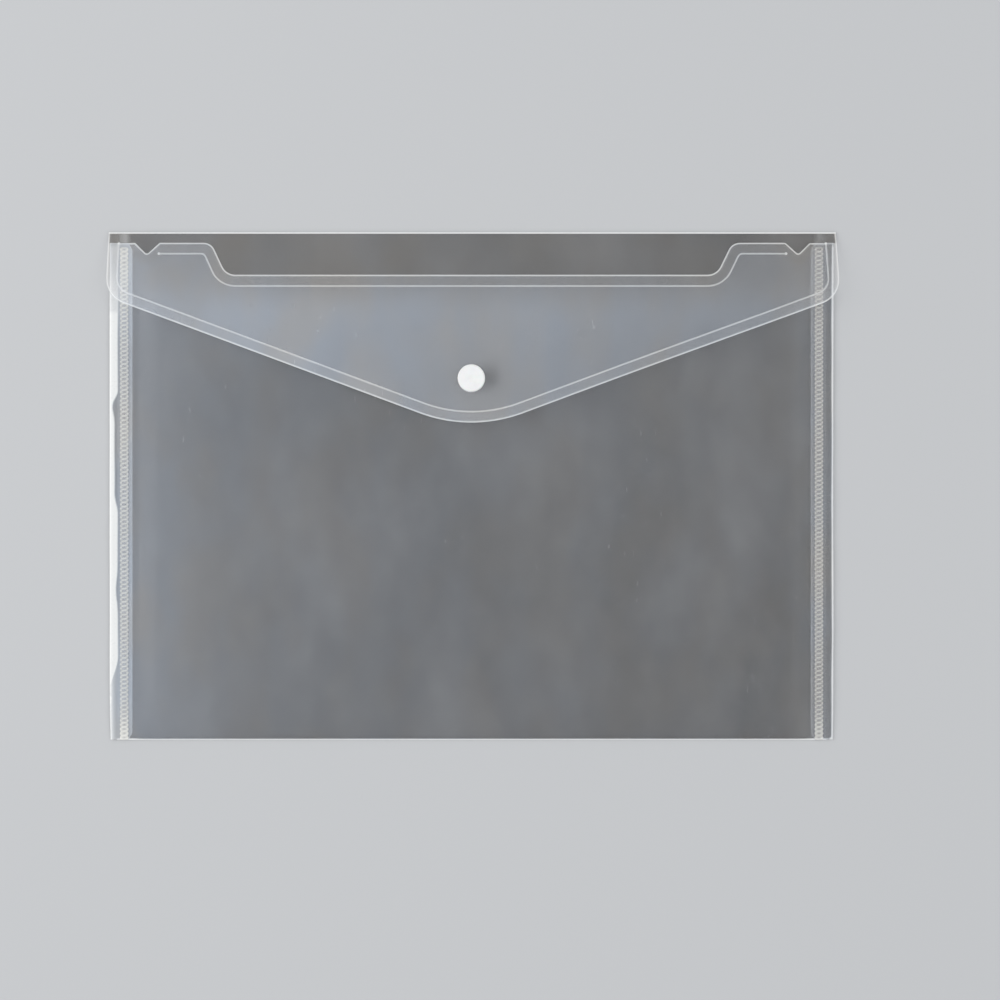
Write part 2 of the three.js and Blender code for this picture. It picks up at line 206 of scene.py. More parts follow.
# A bell curve: e to the power of minus the squared distance, with the reach as its unit.
def bell(distance, reach):
    return np.exp(-((distance / reach) ** 2))


# Points on an arc, with the directions from its centre.
def arcPoints(cx, cy, r, start, end, count):
    a = np.linspace(start, end, count)
    out = np.stack([np.cos(a), np.sin(a)], axis=1)
    return np.array([cx, cy]) + r * out, out


# Materials

# Patterns on the film. A range is the noise's low and high value, and what they become.
filmPattern = {
    "cloudScale": 19,  # cells of the cloudy haze in a metre
    "cloudRange": (0.34, 0.66, 0.86, 1.14),
    "tintScale": 38,
    "tintRange": (0.42, 0.64, 0, 0.45),
    "rubScale": 1500,
    "rubTurn": 0.45,  # the rubbed marks lean by this angle
    "rubRange": (0.8, 0.86, 0, 0.16),
    "rubClouds": (0.48, 0.6, 0, 1),  # rubbed only where the haze is thick
    "dustScale": 40,
    "dustRange": (0.008, 0.017, 0.9, 0),  # from a speck's middle to its edge
    "dustShare": (0.86, 0.94, 0, 1),  # only some cells hold a speck
    "grainScale": 900,
    "grainRange": (0.3, 0.7, -0.03, 0.04),  # added to the roughness
    "whiteRoughness": 0.15,
    "waveScale": 26,
    "markHeight": 0.02,
}


# An effect group: cloudy haze, faint rubbed marks and dust on clear film. It puts out a colour, the share of
# light that the film stops, a roughness and a height. Its masks say where the film is whitened and where
# highlights are painted on it, where it is smoky, where the haze turns warm, and how thick the haze is, which
# also holds painted light and shade.
def filmFinishGroup():
    group = bpy.data.node_groups.new("filmFinish", "ShaderNodeTree")
    face = group.interface
    for name, kind, value in (
        ("Haze", "NodeSocketColor", (0.5, 0.53, 0.57, 1)),
        ("Warm", "NodeSocketColor", (0.5, 0.48, 0.44, 1)),
        ("Smoke", "NodeSocketColor", (0.06, 0.065, 0.08, 1)),
        ("Whitened And Highlight", "NodeSocketColor", (0.85, 0.87, 0.88, 1)),
        ("Density", "NodeSocketFloat", 0.2),
        ("Smoke Density", "NodeSocketFloat", 0.6),
        ("Whitening And Highlight Density", "NodeSocketFloat", 0.7),
        ("Whitening And Highlight Mask", "NodeSocketFloat", 0.0),
        ("Smoke Mask", "NodeSocketFloat", 0.0),
        ("Warm Mask", "NodeSocketFloat", 0.0),
        ("Haze Scale And Painted Light", "NodeSocketFloat", 1.0),
        ("Gloss", "NodeSocketFloat", 0.15),
        ("Wear", "NodeSocketFloat", 1.0),
    ):
        socket = face.new_socket(name, in_out="INPUT", socket_type=kind)
        socket.default_value = value
    for name, kind in (("Color", "NodeSocketColor"), ("Alpha", "NodeSocketFloat"),
                       ("Roughness", "NodeSocketFloat"), ("Height", "NodeSocketFloat")):
        face.new_socket(name, in_out="OUTPUT", socket_type=kind)
    nodes, link = group.nodes, group.links.new
    given = nodes.new("NodeGroupInput").outputs
    result = nodes.new("NodeGroupOutput")
    place = nodes.new("ShaderNodeTexCoord")
    pattern = filmPattern

    # Noise on the object's own coordinates, stretched and turned.
    def noise(scale, detail, stretch=(1, 1, 1), turn=0.0):
        mapping = nodes.new("ShaderNodeMapping")
        mapping.inputs["Scale"].default_value = stretch
        mapping.inputs["Rotation"].default_value = (0, 0, turn)
        texture = nodes.new("ShaderNodeTexNoise")
        texture.inputs["Scale"].default_value = scale
        texture.inputs["Detail"].default_value = detail
        link(place.outputs["Object"], mapping.inputs["Vector"])
        link(mapping.outputs["Vector"], texture.inputs["Vector"])
        return texture.outputs["Fac"]

    # A value moved from one span to another and kept inside it.
    def spread(value, span):
        node = nodes.new("ShaderNodeMapRange")
        for socket, number in zip(("From Min", "From Max", "To Min", "To Max"), span):
            node.inputs[socket].default_value = number
        link(value, node.inputs["Value"])
        return node.outputs["Result"]

    # One sum, product or greater value of a and b, each a number or a socket.
    def maths(kind, a, b):
        node = nodes.new("ShaderNodeMath")
        node.operation = kind
        for socket, value in zip(node.inputs, (a, b)):
            if isinstance(value, (int, float)):
                socket.default_value = value
            else:
                link(value, socket)
        return node.outputs["Value"]

    # A mix of two colours or two values by a factor. The node keeps its value sockets before its colour ones.
    def mixed(kind, factor, a, b):
        node = nodes.new("ShaderNodeMix")
        node.data_type = kind
        at, out = (2, 0) if kind == "FLOAT" else (6, 2)
        link(factor, node.inputs[0])
        link(a, node.inputs[at])
        link(b, node.inputs[at + 1])
        return node.outputs[out]

    clouds = noise(pattern["cloudScale"], 3, stretch=(1, 0.6, 1))
    tint = spread(noise(pattern["tintScale"], 2, stretch=(1, 0.5, 1)), pattern["tintRange"])
    tint = maths("ADD", tint, given["Warm Mask"])
    rubbed = noise(pattern["rubScale"], 0, stretch=(1, 0.16, 1), turn=pattern["rubTurn"])
    rubbed = spread(rubbed, pattern["rubRange"])
    rubbed = maths("MULTIPLY", rubbed, spread(clouds, pattern["rubClouds"]))
    cells = nodes.new("ShaderNodeTexVoronoi")
    cells.inputs["Scale"].default_value = pattern["dustScale"]
    link(place.outputs["Object"], cells.inputs["Vector"])
    speck = spread(cells.outputs["Distance"], pattern["dustRange"])
    split = nodes.new("ShaderNodeSeparateColor")
    link(cells.outputs["Color"], split.inputs["Color"])
    dust = maths("MULTIPLY", speck, spread(split.outputs["Red"], pattern["dustShare"]))
    marks = maths("MULTIPLY", maths("MAXIMUM", rubbed, dust), given["Wear"])

    white = maths("MAXIMUM", given["Whitening And Highlight Mask"], marks)
    haze = mixed("RGBA", tint, given["Haze"], given["Warm"])
    under = mixed("RGBA", given["Smoke Mask"], haze, given["Smoke"])
    link(mixed("RGBA", white, under, given["Whitened And Highlight"]), result.inputs["Color"])
    cloudy = maths("MULTIPLY", given["Haze Scale And Painted Light"], spread(clouds, pattern["cloudRange"]))
    dense = mixed("FLOAT", given["Smoke Mask"], given["Density"], given["Smoke Density"])
    dense = maths("MULTIPLY", dense, cloudy)
    link(mixed("FLOAT", white, dense, given["Whitening And Highlight Density"]), result.inputs["Alpha"])
    grain = spread(noise(pattern["grainScale"], 0), pattern["grainRange"])
    rough = maths("ADD", given["Gloss"], grain)
    rough = maths("ADD", rough, maths("MULTIPLY", white, pattern["whiteRoughness"]))
    link(rough, result.inputs["Roughness"])
    waves = noise(pattern["waveScale"], 1)
    raised = maths("MULTIPLY", marks, pattern["markHeight"])
    link(maths("ADD", waves, raised), result.inputs["Height"])
    return group


filmFinish = filmFinishGroup()

filmLook = {
    "Haze": (0.74, 0.82, 0.93, 1),
    "Warm": (0.84, 0.8, 0.74, 1),
    "Smoke": (0.06, 0.055, 0.052, 1),
    "Whitened And Highlight": (0.94, 0.945, 0.925, 1),
    "Density": 0.115,
    "Smoke Density": 0.66,
    "Whitening And Highlight Density": 0.93,
    "Gloss": 0.15,
    "Wear": 1.0,
}
weldLook = {
    "Haze": (0.62, 0.63, 0.62, 1),
    "Warm": (0.66, 0.62, 0.57, 1),
    "Whitened And Highlight": (0.9, 0.885, 0.82, 1),
    "Density": 0.2,
    "Whitening And Highlight Density": 0.72,
    "Gloss": 0.3,
    "Wear": 0.0,
}


# A film material: colour, alpha and roughness come from the group, whose masks are attributes of the mesh.
# Alpha is multiplied by one less Backfacing, so only the skin that faces the eye stops light, and a film
# counts once.
def filmMaterial(name, look, waveHeight):
    material = bpy.data.materials.new(name)
    material.use_nodes = True
    nodes, link = material.node_tree.nodes, material.node_tree.links.new
    shader = nodes["Principled BSDF"]
    finish = nodes.new("ShaderNodeGroup")
    finish.node_tree = filmFinish
    for socket, value in look.items():
        finish.inputs[socket].default_value = value
    # The white mask also holds painted highlights, and the haze mask painted light and shade.
    masks = (("white", "Whitening And Highlight Mask"), ("smoke", "Smoke Mask"), ("warm", "Warm Mask"), ("haze", "Haze Scale And Painted Light"))
    for mask, socket in masks:
        attribute = nodes.new("ShaderNodeAttribute")
        attribute.attribute_name = mask
        link(attribute.outputs["Fac"], finish.inputs[socket])
    geometry = nodes.new("ShaderNodeNewGeometry")
    facing = nodes.new("ShaderNodeMath")
    facing.operation = "SUBTRACT"
    facing.inputs[0].default_value = 1
    link(geometry.outputs["Backfacing"], facing.inputs[1])
    once = nodes.new("ShaderNodeMath")
    once.operation = "MULTIPLY"
    link(finish.outputs["Alpha"], once.inputs[0])
    link(facing.outputs["Value"], once.inputs[1])
    bump = nodes.new("ShaderNodeBump")
    bump.inputs["Distance"].default_value = waveHeight
    link(finish.outputs["Height"], bump.inputs["Height"])
    link(finish.outputs["Color"], shader.inputs["Base Color"])
    link(once.outputs["Value"], shader.inputs["Alpha"])
    link(finish.outputs["Roughness"], shader.inputs["Roughness"])
    link(bump.outputs["Normal"], shader.inputs["Normal"])
    shader.inputs["IOR"].default_value = 1.49  # polypropylene
    return material


clearFilm = filmMaterial("clear film", filmLook, waveHeight=0.6 * mm)
weldedFilm = filmMaterial("knurled weld", weldLook, waveHeight=0.1 * mm)

studLook = {
    "colour": (0.9, 0.9, 0.885),
    "flowScale": 260,
    "flowDark": 0.93,  # the flow marks are darker by this factor
    "flowRange": (0.3, 0.7),
    "roughness": (0.26, 0.42),
    "peelScale": 1900,
    "peelStrength": 0.35,
    "peelHeight": 0.02 * mm,
    "bleed": 0.08,
    "bleedDepth": 1 * mm,
}


# White moulded plastic: faint flow marks in its colour and roughness, and a fine orange-peel bump.
def studMaterial(name):
    material = bpy.data.materials.new(name)
    material.use_nodes = True
    nodes, link = material.node_tree.nodes, material.node_tree.links.new
    shader = nodes["Principled BSDF"]
    place = nodes.new("ShaderNodeTexCoord")
    flow = nodes.new("ShaderNodeTexNoise")
    flow.inputs["Scale"].default_value = studLook["flowScale"]
    flow.inputs["Detail"].default_value = 3
    link(place.outputs["Object"], flow.inputs["Vector"])
    ramp = nodes.new("ShaderNodeValToRGB")
    for element, at, shade in zip(ramp.color_ramp.elements, studLook["flowRange"], (studLook["flowDark"], 1)):
        element.position = at
        element.color = (*[shade * c for c in studLook["colour"]], 1)
    link(flow.outputs["Fac"], ramp.inputs["Fac"])
    link(ramp.outputs["Color"], shader.inputs["Base Color"])
    rough = nodes.new("ShaderNodeMapRange")
    rough.inputs["To Min"].default_value, rough.inputs["To Max"].default_value = studLook["roughness"]
    link(flow.outputs["Fac"], rough.inputs["Value"])
    link(rough.outputs["Result"], shader.inputs["Roughness"])
    peel = nodes.new("ShaderNodeTexNoise")
    peel.inputs["Scale"].default_value = studLook["peelScale"]
    link(place.outputs["Object"], peel.inputs["Vector"])
    bump = nodes.new("ShaderNodeBump")
    bump.inputs["Strength"].default_value = studLook["peelStrength"]
    bump.inputs["Distance"].default_value = studLook["peelHeight"]
    link(peel.outputs["Fac"], bump.inputs["Height"])
    link(bump.outputs["Normal"], shader.inputs["Normal"])
    shader.inputs["Subsurface Weight"].default_value = studLook["bleed"]
    shader.inputs["Subsurface Scale"].default_value = studLook["bleedDepth"]
    return material


studPlastic = studMaterial("white stud plastic")
print("materials made")

# Heights of the film

shape = {
    "flapSweep": 2.6,  # power of the curve by which the flap rises from its crease
    "flapFlat": 7.5 * mm,  # the flap is level from this far above the stud
    "edgeRoll": 5.2 * mm,  # the front has risen by two thirds this far from a seam
    "cornerBlend": 4,  # higher makes a sharper hip line at the pocket's bottom corners
    "mouthClearance": 0.35 * mm,  # air between the closed flap and the front
    "mouthBlend": 0.12 * mm,  # the front passes from its own roll to the flap's over about this height
    "flapWave": 0.1 * mm,
    "flapLoose": 25 * mm,  # the flap's wave has grown to its full height this far from the crease
    "frontWave": 0.12 * mm,
    "studCalm": 16 * mm,  # the waves have grown by two thirds this far from the stud
    "seamGap": 0.01 * mm,  # left between two films in a seam
}
frontRise = frontTop - 2 * film
flatReach = flapStartY - studY - shape["flapFlat"]


# A gentle unevenness, never above 1 either way: the mean of four long sine waves, each given by its radians
# to the metre along x and along y and by its phase.
def unevenness(x, y, seed):
    waves = ((43, 31, 0.3), (-29, 57, 1.9), (71, -23, 4.1), (17, 83, 2.6))
    return sum(np.sin(a * x + b * y + c + seed * (k + 1)) for k, (a, b, c) in enumerate(waves)) / len(waves)


# Share of a film's wave that is left near the stud, which holds the film level.
def awayFromStud(x, y):
    return 1 - bell(np.hypot(x, y - studY), shape["studCalm"])


# Underside of the closed flap without its wave. It springs up from the crease as one less a power of the
# way that is left to the level part.
def flapLevel(y):
    left = np.clip(1 - np.clip(flapStartY - y, 0, None) / flatReach, 0, None)
    return seatTop + (flapUnder - seatTop) * (1 - left ** shape["flapSweep"])


# Middle of the closed flap's film.
def flapMiddle(x, y):
    loose = np.clip((flapStartY - y) / shape["flapLoose"], 0, 1)
    wave = shape["flapWave"] * unevenness(x, y, 0.7) * awayFromStud(x, y) * loose
    return flapLevel(y) + film / 2 + wave


# Middle of the front film. It rolls up from the side seams and the bottom crease as one less a falling
# exponential, and near the mouth it stays a little under the flap. The lower of the two heights is taken as
# a soft minimum: less a small height times the logarithm of the summed exponentials of both.
def frontMiddle(x, y):
    power = shape["cornerBlend"] / shape["edgeRoll"]
    side = np.exp(-power * np.clip(lipX - np.abs(x), 0, None))
    foot = np.exp(-power * np.clip(y - bottomY, 0, None))
    rolled = film + frontRise * np.clip(1 - (side + foot) ** (1 / shape["cornerBlend"]), 0, None)
    pressed = flapLevel(y) - shape["mouthClearance"] - film
    soft = shape["mouthBlend"]
    lower = -soft * np.logaddexp(-rolled / soft, -pressed / soft)
    free = np.clip((lower - film) / frontRise, 0, 1) * awayFromStud(x, y)
    wave = shape["frontWave"] * unevenness(x, y, 2.2) * free
    return np.maximum(film + shape["seamGap"], lower) + film / 2 + wave


# Flap

flap = {
    "slope": math.radians(20.4),
    "tipRadius": 68 * mm,
    "cornerRadius": 12.5 * mm,
    "askew": 0.6 * mm,  # the right end of the crease stands out by this
    "cornerOut": 1.2 * mm,  # and the right corner by this much more
    "cornerReach": 38 * mm,  # which it has reached this far below the crease
    "askewFrom": 60 * mm,  # nothing is pushed out this near to the middle
    "rimWidth": 0.9 * mm,
    # painted highlight along the cut edge, where it catches the lamps
    "rimHighlight": 0.62,
    "creaseWidth": 0.4 * mm,  # of the painted highlight along the crease
    "creaseAbove": 0.2 * mm,  # by which that line lies past the flap's start
    # painted highlight along the crease's fold
    "creaseHighlight": 0.95,
    "weldTraceLeft": 0.4,  # whiteness of the welds' traces on the leg of back film beyond the mouth
    "weldTraceRight": 0.2,
    "traceInner": (-3 * mm, 0),  # where a trace sets in, from the weld's middle
    "traceOuter": (1 * mm, 3 * mm),  # and where it ends
    # painted shade: less haze near the crease, where the tilted flap catches less light
    "shadedHazeNearCrease": 0.8,
    "hazeBelow": 2.0,
    "hazeLine": 101 * mm,  # the haze thickens below this height on the pocket
    "hazeBlend": 24 * mm,
    "borderWidth": 5 * mm,
    "borderHaze": 0.4,
    "hazeRight": 0.7,  # factor on the right side, where the painted light is least
    "litHazeLeft": 0.55,  # more than that at the left end: painted light from the left lamp
    "hazeFade": 200 * mm,
    "shadowSpot": (9 * mm, 0.8 * mm),  # place of a painted shadow beside the stud, where the haze is thinner, from the stud's middle
    "shadowReach": (4.5 * mm, 6 * mm),
    "shadowDepth": 0.5,
    "warmNearCrease": 0.6,
    "warmBorder": 0.15,
}


# The flap was folded a little askew: its right side is pushed out, more so towards its corner.
def pushRight(x, y):
    side = smoothStep(x, flap["askewFrom"], flapX)
    down = np.clip((flapStartY - y) / flap["cornerReach"], 0, 1)
    return x + side * (flap["askew"] + flap["cornerOut"] * down)


# Right half of the flap's cut edge from the crease to the tip, moved inwards by an inset, as points and
# inward normals: a straight side, a corner arc, a slanting edge and the tip's wide arc.
def flapEdge(inset=0.0):
    sideCount, cornerCount, slantCount, tipCount = 24, 14, 64, 22
    nearCrease = [0, 0.006, 0.012, 0.02]  # the side's first points crowd at the crease
    slope = flap["slope"]
    tip = flap["tipRadius"]
    corner = flap["cornerRadius"]
    apexY = flapTipY - tip * (1 / math.cos(slope) - 1)
    turn = math.pi / 2 - slope
    cornerY = apexY + flapX * math.tan(slope) + corner * math.tan(turn / 2)
    evenly = np.linspace(0.05, 1, sideCount - len(nearCrease), endpoint=False)
    down = np.concatenate([nearCrease, evenly])
    side = np.stack([np.full(sideCount, flapX), flapStartY + down * (cornerY - flapStartY)], axis=1)
    bend, bendOut = arcPoints(flapX - corner, cornerY, corner, 0, -turn, cornerCount)
    tipEnd, tipOut = arcPoints(0, flapTipY + tip, tip, slope - math.pi / 2, -math.pi / 2, tipCount)
    slant = np.linspace(bend[-1], tipEnd[0], slantCount + 2)[1:-1]
    points = np.concatenate([side, bend, slant, tipEnd])
    outward = np.concatenate([
        np.tile([1.0, 0.0], (sideCount, 1)), bendOut,
        np.tile([math.sin(slope), -math.cos(slope)], (slantCount, 1)), tipOut,
    ])
    return points - outward * inset, -outward


# Masks of the flap's film. The haze is thin near the crease as painted shade, thickens below a level line,
# and is thicker to the left as painted light; a spot beside the stud is a painted shadow, the border is
# hazier, and the cut edge and the crease carry painted highlights.
def flapMasks(x, y, distance, smoke):
    # Painted highlights along the cut edge and along the crease.
    white = flap["rimHighlight"] * rimMask(distance, flap["rimWidth"])
    creased = rimMask(flapStartY + flap["creaseAbove"] - y, flap["creaseWidth"])
    white = np.maximum(white, flap["creaseHighlight"] * creased)
    fromWeld = np.abs(x) - weldX
    trace = smoothStep(fromWeld, *flap["traceInner"]) * (1 - smoothStep(fromWeld, *flap["traceOuter"]))
    trace *= np.where(x < 0, flap["weldTraceLeft"], flap["weldTraceRight"])
    white = white * (1 - smoke) + trace * smoke
    below = smoothStep(flap["hazeLine"] - y, 0, flap["hazeBlend"])
    border = distance < flap["borderWidth"]
    # Painted shade: less haze near the crease, where the tilted flap gets less light.
    haze = flap["shadedHazeNearCrease"] + (flap["hazeBelow"] - flap["shadedHazeNearCrease"]) * below
    # Painted light: the haze is thicker towards the left lamp.
    leftwards = flap["hazeRight"] + flap["litHazeLeft"] * bell(x + flapX, flap["hazeFade"])
    haze = (haze + flap["borderHaze"] * border) * leftwards
    # Painted shadow beside the stud: the haze is thinner there.
    spotX, spotY = flap["shadowSpot"]
    spot = bell(x - spotX, flap["shadowReach"][0]) * bell(y - studY - spotY, flap["shadowReach"][1])
    haze = haze * (1 - flap["shadowDepth"] * spot) * (1 - smoke) + smoke
    warm = flap["warmNearCrease"] * (1 - below) + flap["warmBorder"] * border
    return {"white": white, "smoke": smoke, "haze": haze, "warm": warm}


# The flap's film with the crease and the short leg of back film beyond it. Each row runs from the left cut
# edge to the right one: a band of insets at each side, and level lines between them. The first rows follow
# the leg and a half circle round the crease's axis.
def makeFlap():
    edge, inward = flapEdge()
    insets = np.concatenate([rimInsets, np.array([2.2, 3.4, 4.7, 5.3, 8]) * mm])
    between = 124  # columns between the two bands
    legRows, bendRows = 8, 9
    legY = np.linspace(shoulderY, axisY, legRows)
    angles = np.linspace(-math.pi / 2, math.pi / 2, bendRows)[1:]
    head = legRows + len(angles)
    r = axisZ - film / 2
    pathY = np.concatenate([legY, axisY + r * np.cos(angles)])
    pathZ = np.concatenate([np.full(legRows, film / 2), axisZ + r * np.sin(angles)])

    headX = np.full((head, 1), flapX) - insets
    headY = pathY[:, None] + 0 * insets
    rightX = np.concatenate([headX, edge[:, :1] + inward[:, :1] * insets])[:, ::-1]
    rightY = np.concatenate([headY, edge[:, 1:] + inward[:, 1:] * insets])[:, ::-1]
    share = np.linspace(-1, 1, between + 2)[1:-1]
    x = np.concatenate([-rightX[:, ::-1], rightX[:, :1] * share, rightX], axis=1)
    y = np.concatenate([rightY[:, ::-1], rightY[:, :1] + 0 * share, rightY], axis=1)
    distance = np.concatenate([insets, np.full(between, insets[-1]), insets[::-1]]) + 0 * x

    z = flapMiddle(x, y)
    normal = slopeNormal(flapMiddle, x, y)
    z[:head] = pathZ[:, None]
    outY = np.concatenate([np.zeros(legRows), np.cos(angles)])
    outZ = np.concatenate([-np.ones(legRows), np.sin(angles)])
    normal[:head] = np.stack([np.zeros(head), outY, outZ], axis=1)[:, None]
    smoke = 0 * x
    smoke[:head] = 1 - smoothStep(pathZ, film, 2 * film)[:, None]
    middle = np.stack([pushRight(x, y), y, z], axis=-1)
    piece = filmFrom("flap_film", middle, normal, halfFilm(distance), flapMasks(x, y, distance, smoke))
    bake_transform(piece)
    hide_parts("flap_panel", "flap_crease")


# Front film

front = {
    "recessDepth": 15.2 * mm,
    "recessInset": 58.8 * mm,
    "shoulderRadius": 6 * mm,
    "footRadius": 6.8 * mm,
    "slope": math.radians(63.4),
    "notchInset": 16.7 * mm,
    "notchHalfWidth": 5.7 * mm,
    "notchDepth": 5.6 * mm,
    "notchRadius": 0.9 * mm,
    "notchFootRadius": 1.17 * mm,
    "leftNotchIn": 0.9 * mm,  # the left notch is cut this much further in than the right one
    "leftNotchFrom": (116 * mm, 136 * mm),  # the edge is moved in from here, and fully from there on
    "rimWidth": 0.9 * mm,
    # painted highlight along the cut edge, where it catches the lamps
    "rimHighlight": 0.7,
    "creaseWidth": 0.6 * mm,  # of the painted highlight along the bottom crease
    # painted highlight along the bottom crease's fold
    "creaseHighlight": 0.95,
    "haze": 0.82,
    "glowLeftEdge": 0.7,  # painted glow added along the left weld, by this times a share
    "glowLeftShare": 0.7,  # which is this at the top
    "glowLeftLower": (0.5, -20 * mm, 100 * mm),  # and more further down: the amount, and where it grows
    "glowLeftReach": 34 * mm,
    # painted light over the left half
    "litLeftHalf": 0.4,
    "litLeftEnd": 20 * mm,  # the left half's painted light ends here
    "hazeRightEdge": 0.35,
    "hazeRightReach": 9 * mm,
    "hazeTop": (0.5, 55 * mm, 100 * mm),
    "shadeRight": (0.12, 20 * mm, 110 * mm),  # painted shade: taken from the haze towards the right
    "clearFoot": (0.1, 10 * mm, 90 * mm),  # taken from the haze towards the bottom
    "clearBorder": 0.12,  # and, as a share, in the border along the mouth
    "border": (4 * mm, 5.6 * mm),  # where the mouth's border starts to fade, and where it has ended
    "warmBorder": 0.3,
    "warmRight": (0.25, 20 * mm, lipX),
}


# Joins straight runs with small arcs at the corners of a polyline. Each corner gives its radius, and the
# arc touches both runs.
def roundedLine(corners, radii, step):
    points = [np.array(corners[0])]
    for before, corner, after, r in zip(corners[:-2], corners[1:-1], corners[2:], radii):
        before, corner, after = (np.array(p) for p in (before, corner, after))
        u = (before - corner) / np.linalg.norm(before - corner)
        v = (after - corner) / np.linalg.norm(after - corner)
        half = math.acos(np.clip(np.dot(u, v), -1, 1)) / 2
        back = r / math.tan(half)
        centre = corner + (u + v) / np.linalg.norm(u + v) * r / math.sin(half)
        first = corner + u * back - centre
        last = corner + v * back - centre
        a0 = math.atan2(first[1], first[0])
        swing = math.atan2(first[0] * last[1] - first[1] * last[0], np.dot(first, last))
        count = max(4, int(abs(swing) * r / step) + 2)
        a = a0 + np.linspace(0, swing, count)
        points.extend(centre + r * np.stack([np.cos(a), np.sin(a)], axis=1))
    points.append(np.array(corners[-1]))
    return np.array(points)


# Corner points of the right half of the recess in the front's top edge, or of a line at an inset from it,
# with their radii.
def recessCorners(inset, leastRadius):
    rise = front["recessDepth"]
    tangent = math.tan(front["slope"] / 2)
    footX = foldX - front["recessInset"] + front["footRadius"] * tangent
    shoulderX = footX + rise / math.tan(front["slope"])
    shift = inset * tangent
    corners = [
        (0, shoulderY - rise - inset),
        (footX + shift, shoulderY - rise - inset),
        (shoulderX + shift, shoulderY - inset),
    ]
    radii = [front["footRadius"] + inset, max(front["shoulderRadius"] - inset, leastRadius)]
    return corners, radii


# Right half of the front's top edge, from the middle to the side, as points and inward normals. The normals
# stand square to the line through the two neighbours of a point. Long runs get points between their ends.
def mouthEdge():
    longest = 2.4 * mm
    corners, radii = recessCorners(0, 0)
    notch = foldX - front["notchInset"]
    wide, deep, small = front["notchHalfWidth"], front["notchDepth"], front["notchRadius"]
    corners += [(notch - wide, shoulderY), (notch, shoulderY - deep), (notch + wide, shoulderY)]
    corners += [(frontSideX, shoulderY)]
    line = roundedLine(corners, radii + [small, front["notchFootRadius"], small], 0.5 * mm)
    filled = [line[:1]]
    for a, b in zip(line[:-1], line[1:]):
        count = max(1, int(np.linalg.norm(b - a) / longest))
        filled.append(a + (b - a) * np.linspace(0, 1, count + 1)[1:, None])
    line = np.concatenate(filled)
    along = np.gradient(line, axis=0)
    along /= np.linalg.norm(along, axis=1, keepdims=True)
    inward = np.stack([along[:, 1], -along[:, 0]], axis=1)
    inward[0] = inward[-1] = (0, -1)
    return line, inward


# The left notch and the end of the pressed line beside it are moved inwards, and the cut edge on both sides
# of them follows smoothly.
def pushNotch(x):
    out = smoothStep(-x, *front["leftNotchFrom"]) * (1 - smoothStep(-x, lipX, frontSideX))
    return x + front["leftNotchIn"] * out


# Distance of each point to a polyline: the least over its runs of the distance to the nearest point of a run.
def lineDistance(x, y, line):
    points = np.stack([x.ravel(), y.ravel()], axis=1)
    least = np.full(len(points), np.inf)
    for a, b in zip(line[:-1], line[1:]):
        run = b - a
        t = np.clip((points - a) @ run / (run @ run), 0, 1)
        least = np.minimum(least, np.linalg.norm(points - a - t[:, None] * run, axis=1))
    return least.reshape(x.shape)


# Masks of the front film: painted highlights at the mouth's edge and the bottom crease, with a haze that is
# thickest along the left weld, where a painted glow lies, and behind the flap, and painted light that falls
# off towards the right.
def frontMasks(x, y, away):
    # Painted highlights along the mouth's cut edge and along the bottom crease.
    white = front["rimHighlight"] * rimMask(away, front["rimWidth"])
    white = np.maximum(white, front["creaseHighlight"] * rimMask(y - bottomY, front["creaseWidth"]))
    # A painted glow along the left weld.
    lower = front["glowLeftShare"] + grown(-y, *front["glowLeftLower"])
    haze = front["haze"] + front["glowLeftEdge"] * lower * bell(x + lipX, front["glowLeftReach"])
    # Painted light over the left half.
    haze += front["litLeftHalf"] * (1 - smoothStep(x, -lipX, front["litLeftEnd"]))
    haze += front["hazeRightEdge"] * bell(x - lipX, front["hazeRightReach"])
    haze += grown(y, *front["hazeTop"])
    # Painted shade towards the right.
    haze -= grown(x, *front["shadeRight"])
    haze -= grown(-y, *front["clearFoot"])
    border = 1 - smoothStep(away, *front["border"])
    haze *= 1 - front["clearBorder"] * border
    warm = front["warmBorder"] * border + grown(x, *front["warmRight"])
    return {"white": white, "smoke": 0 * x, "haze": haze, "warm": warm}


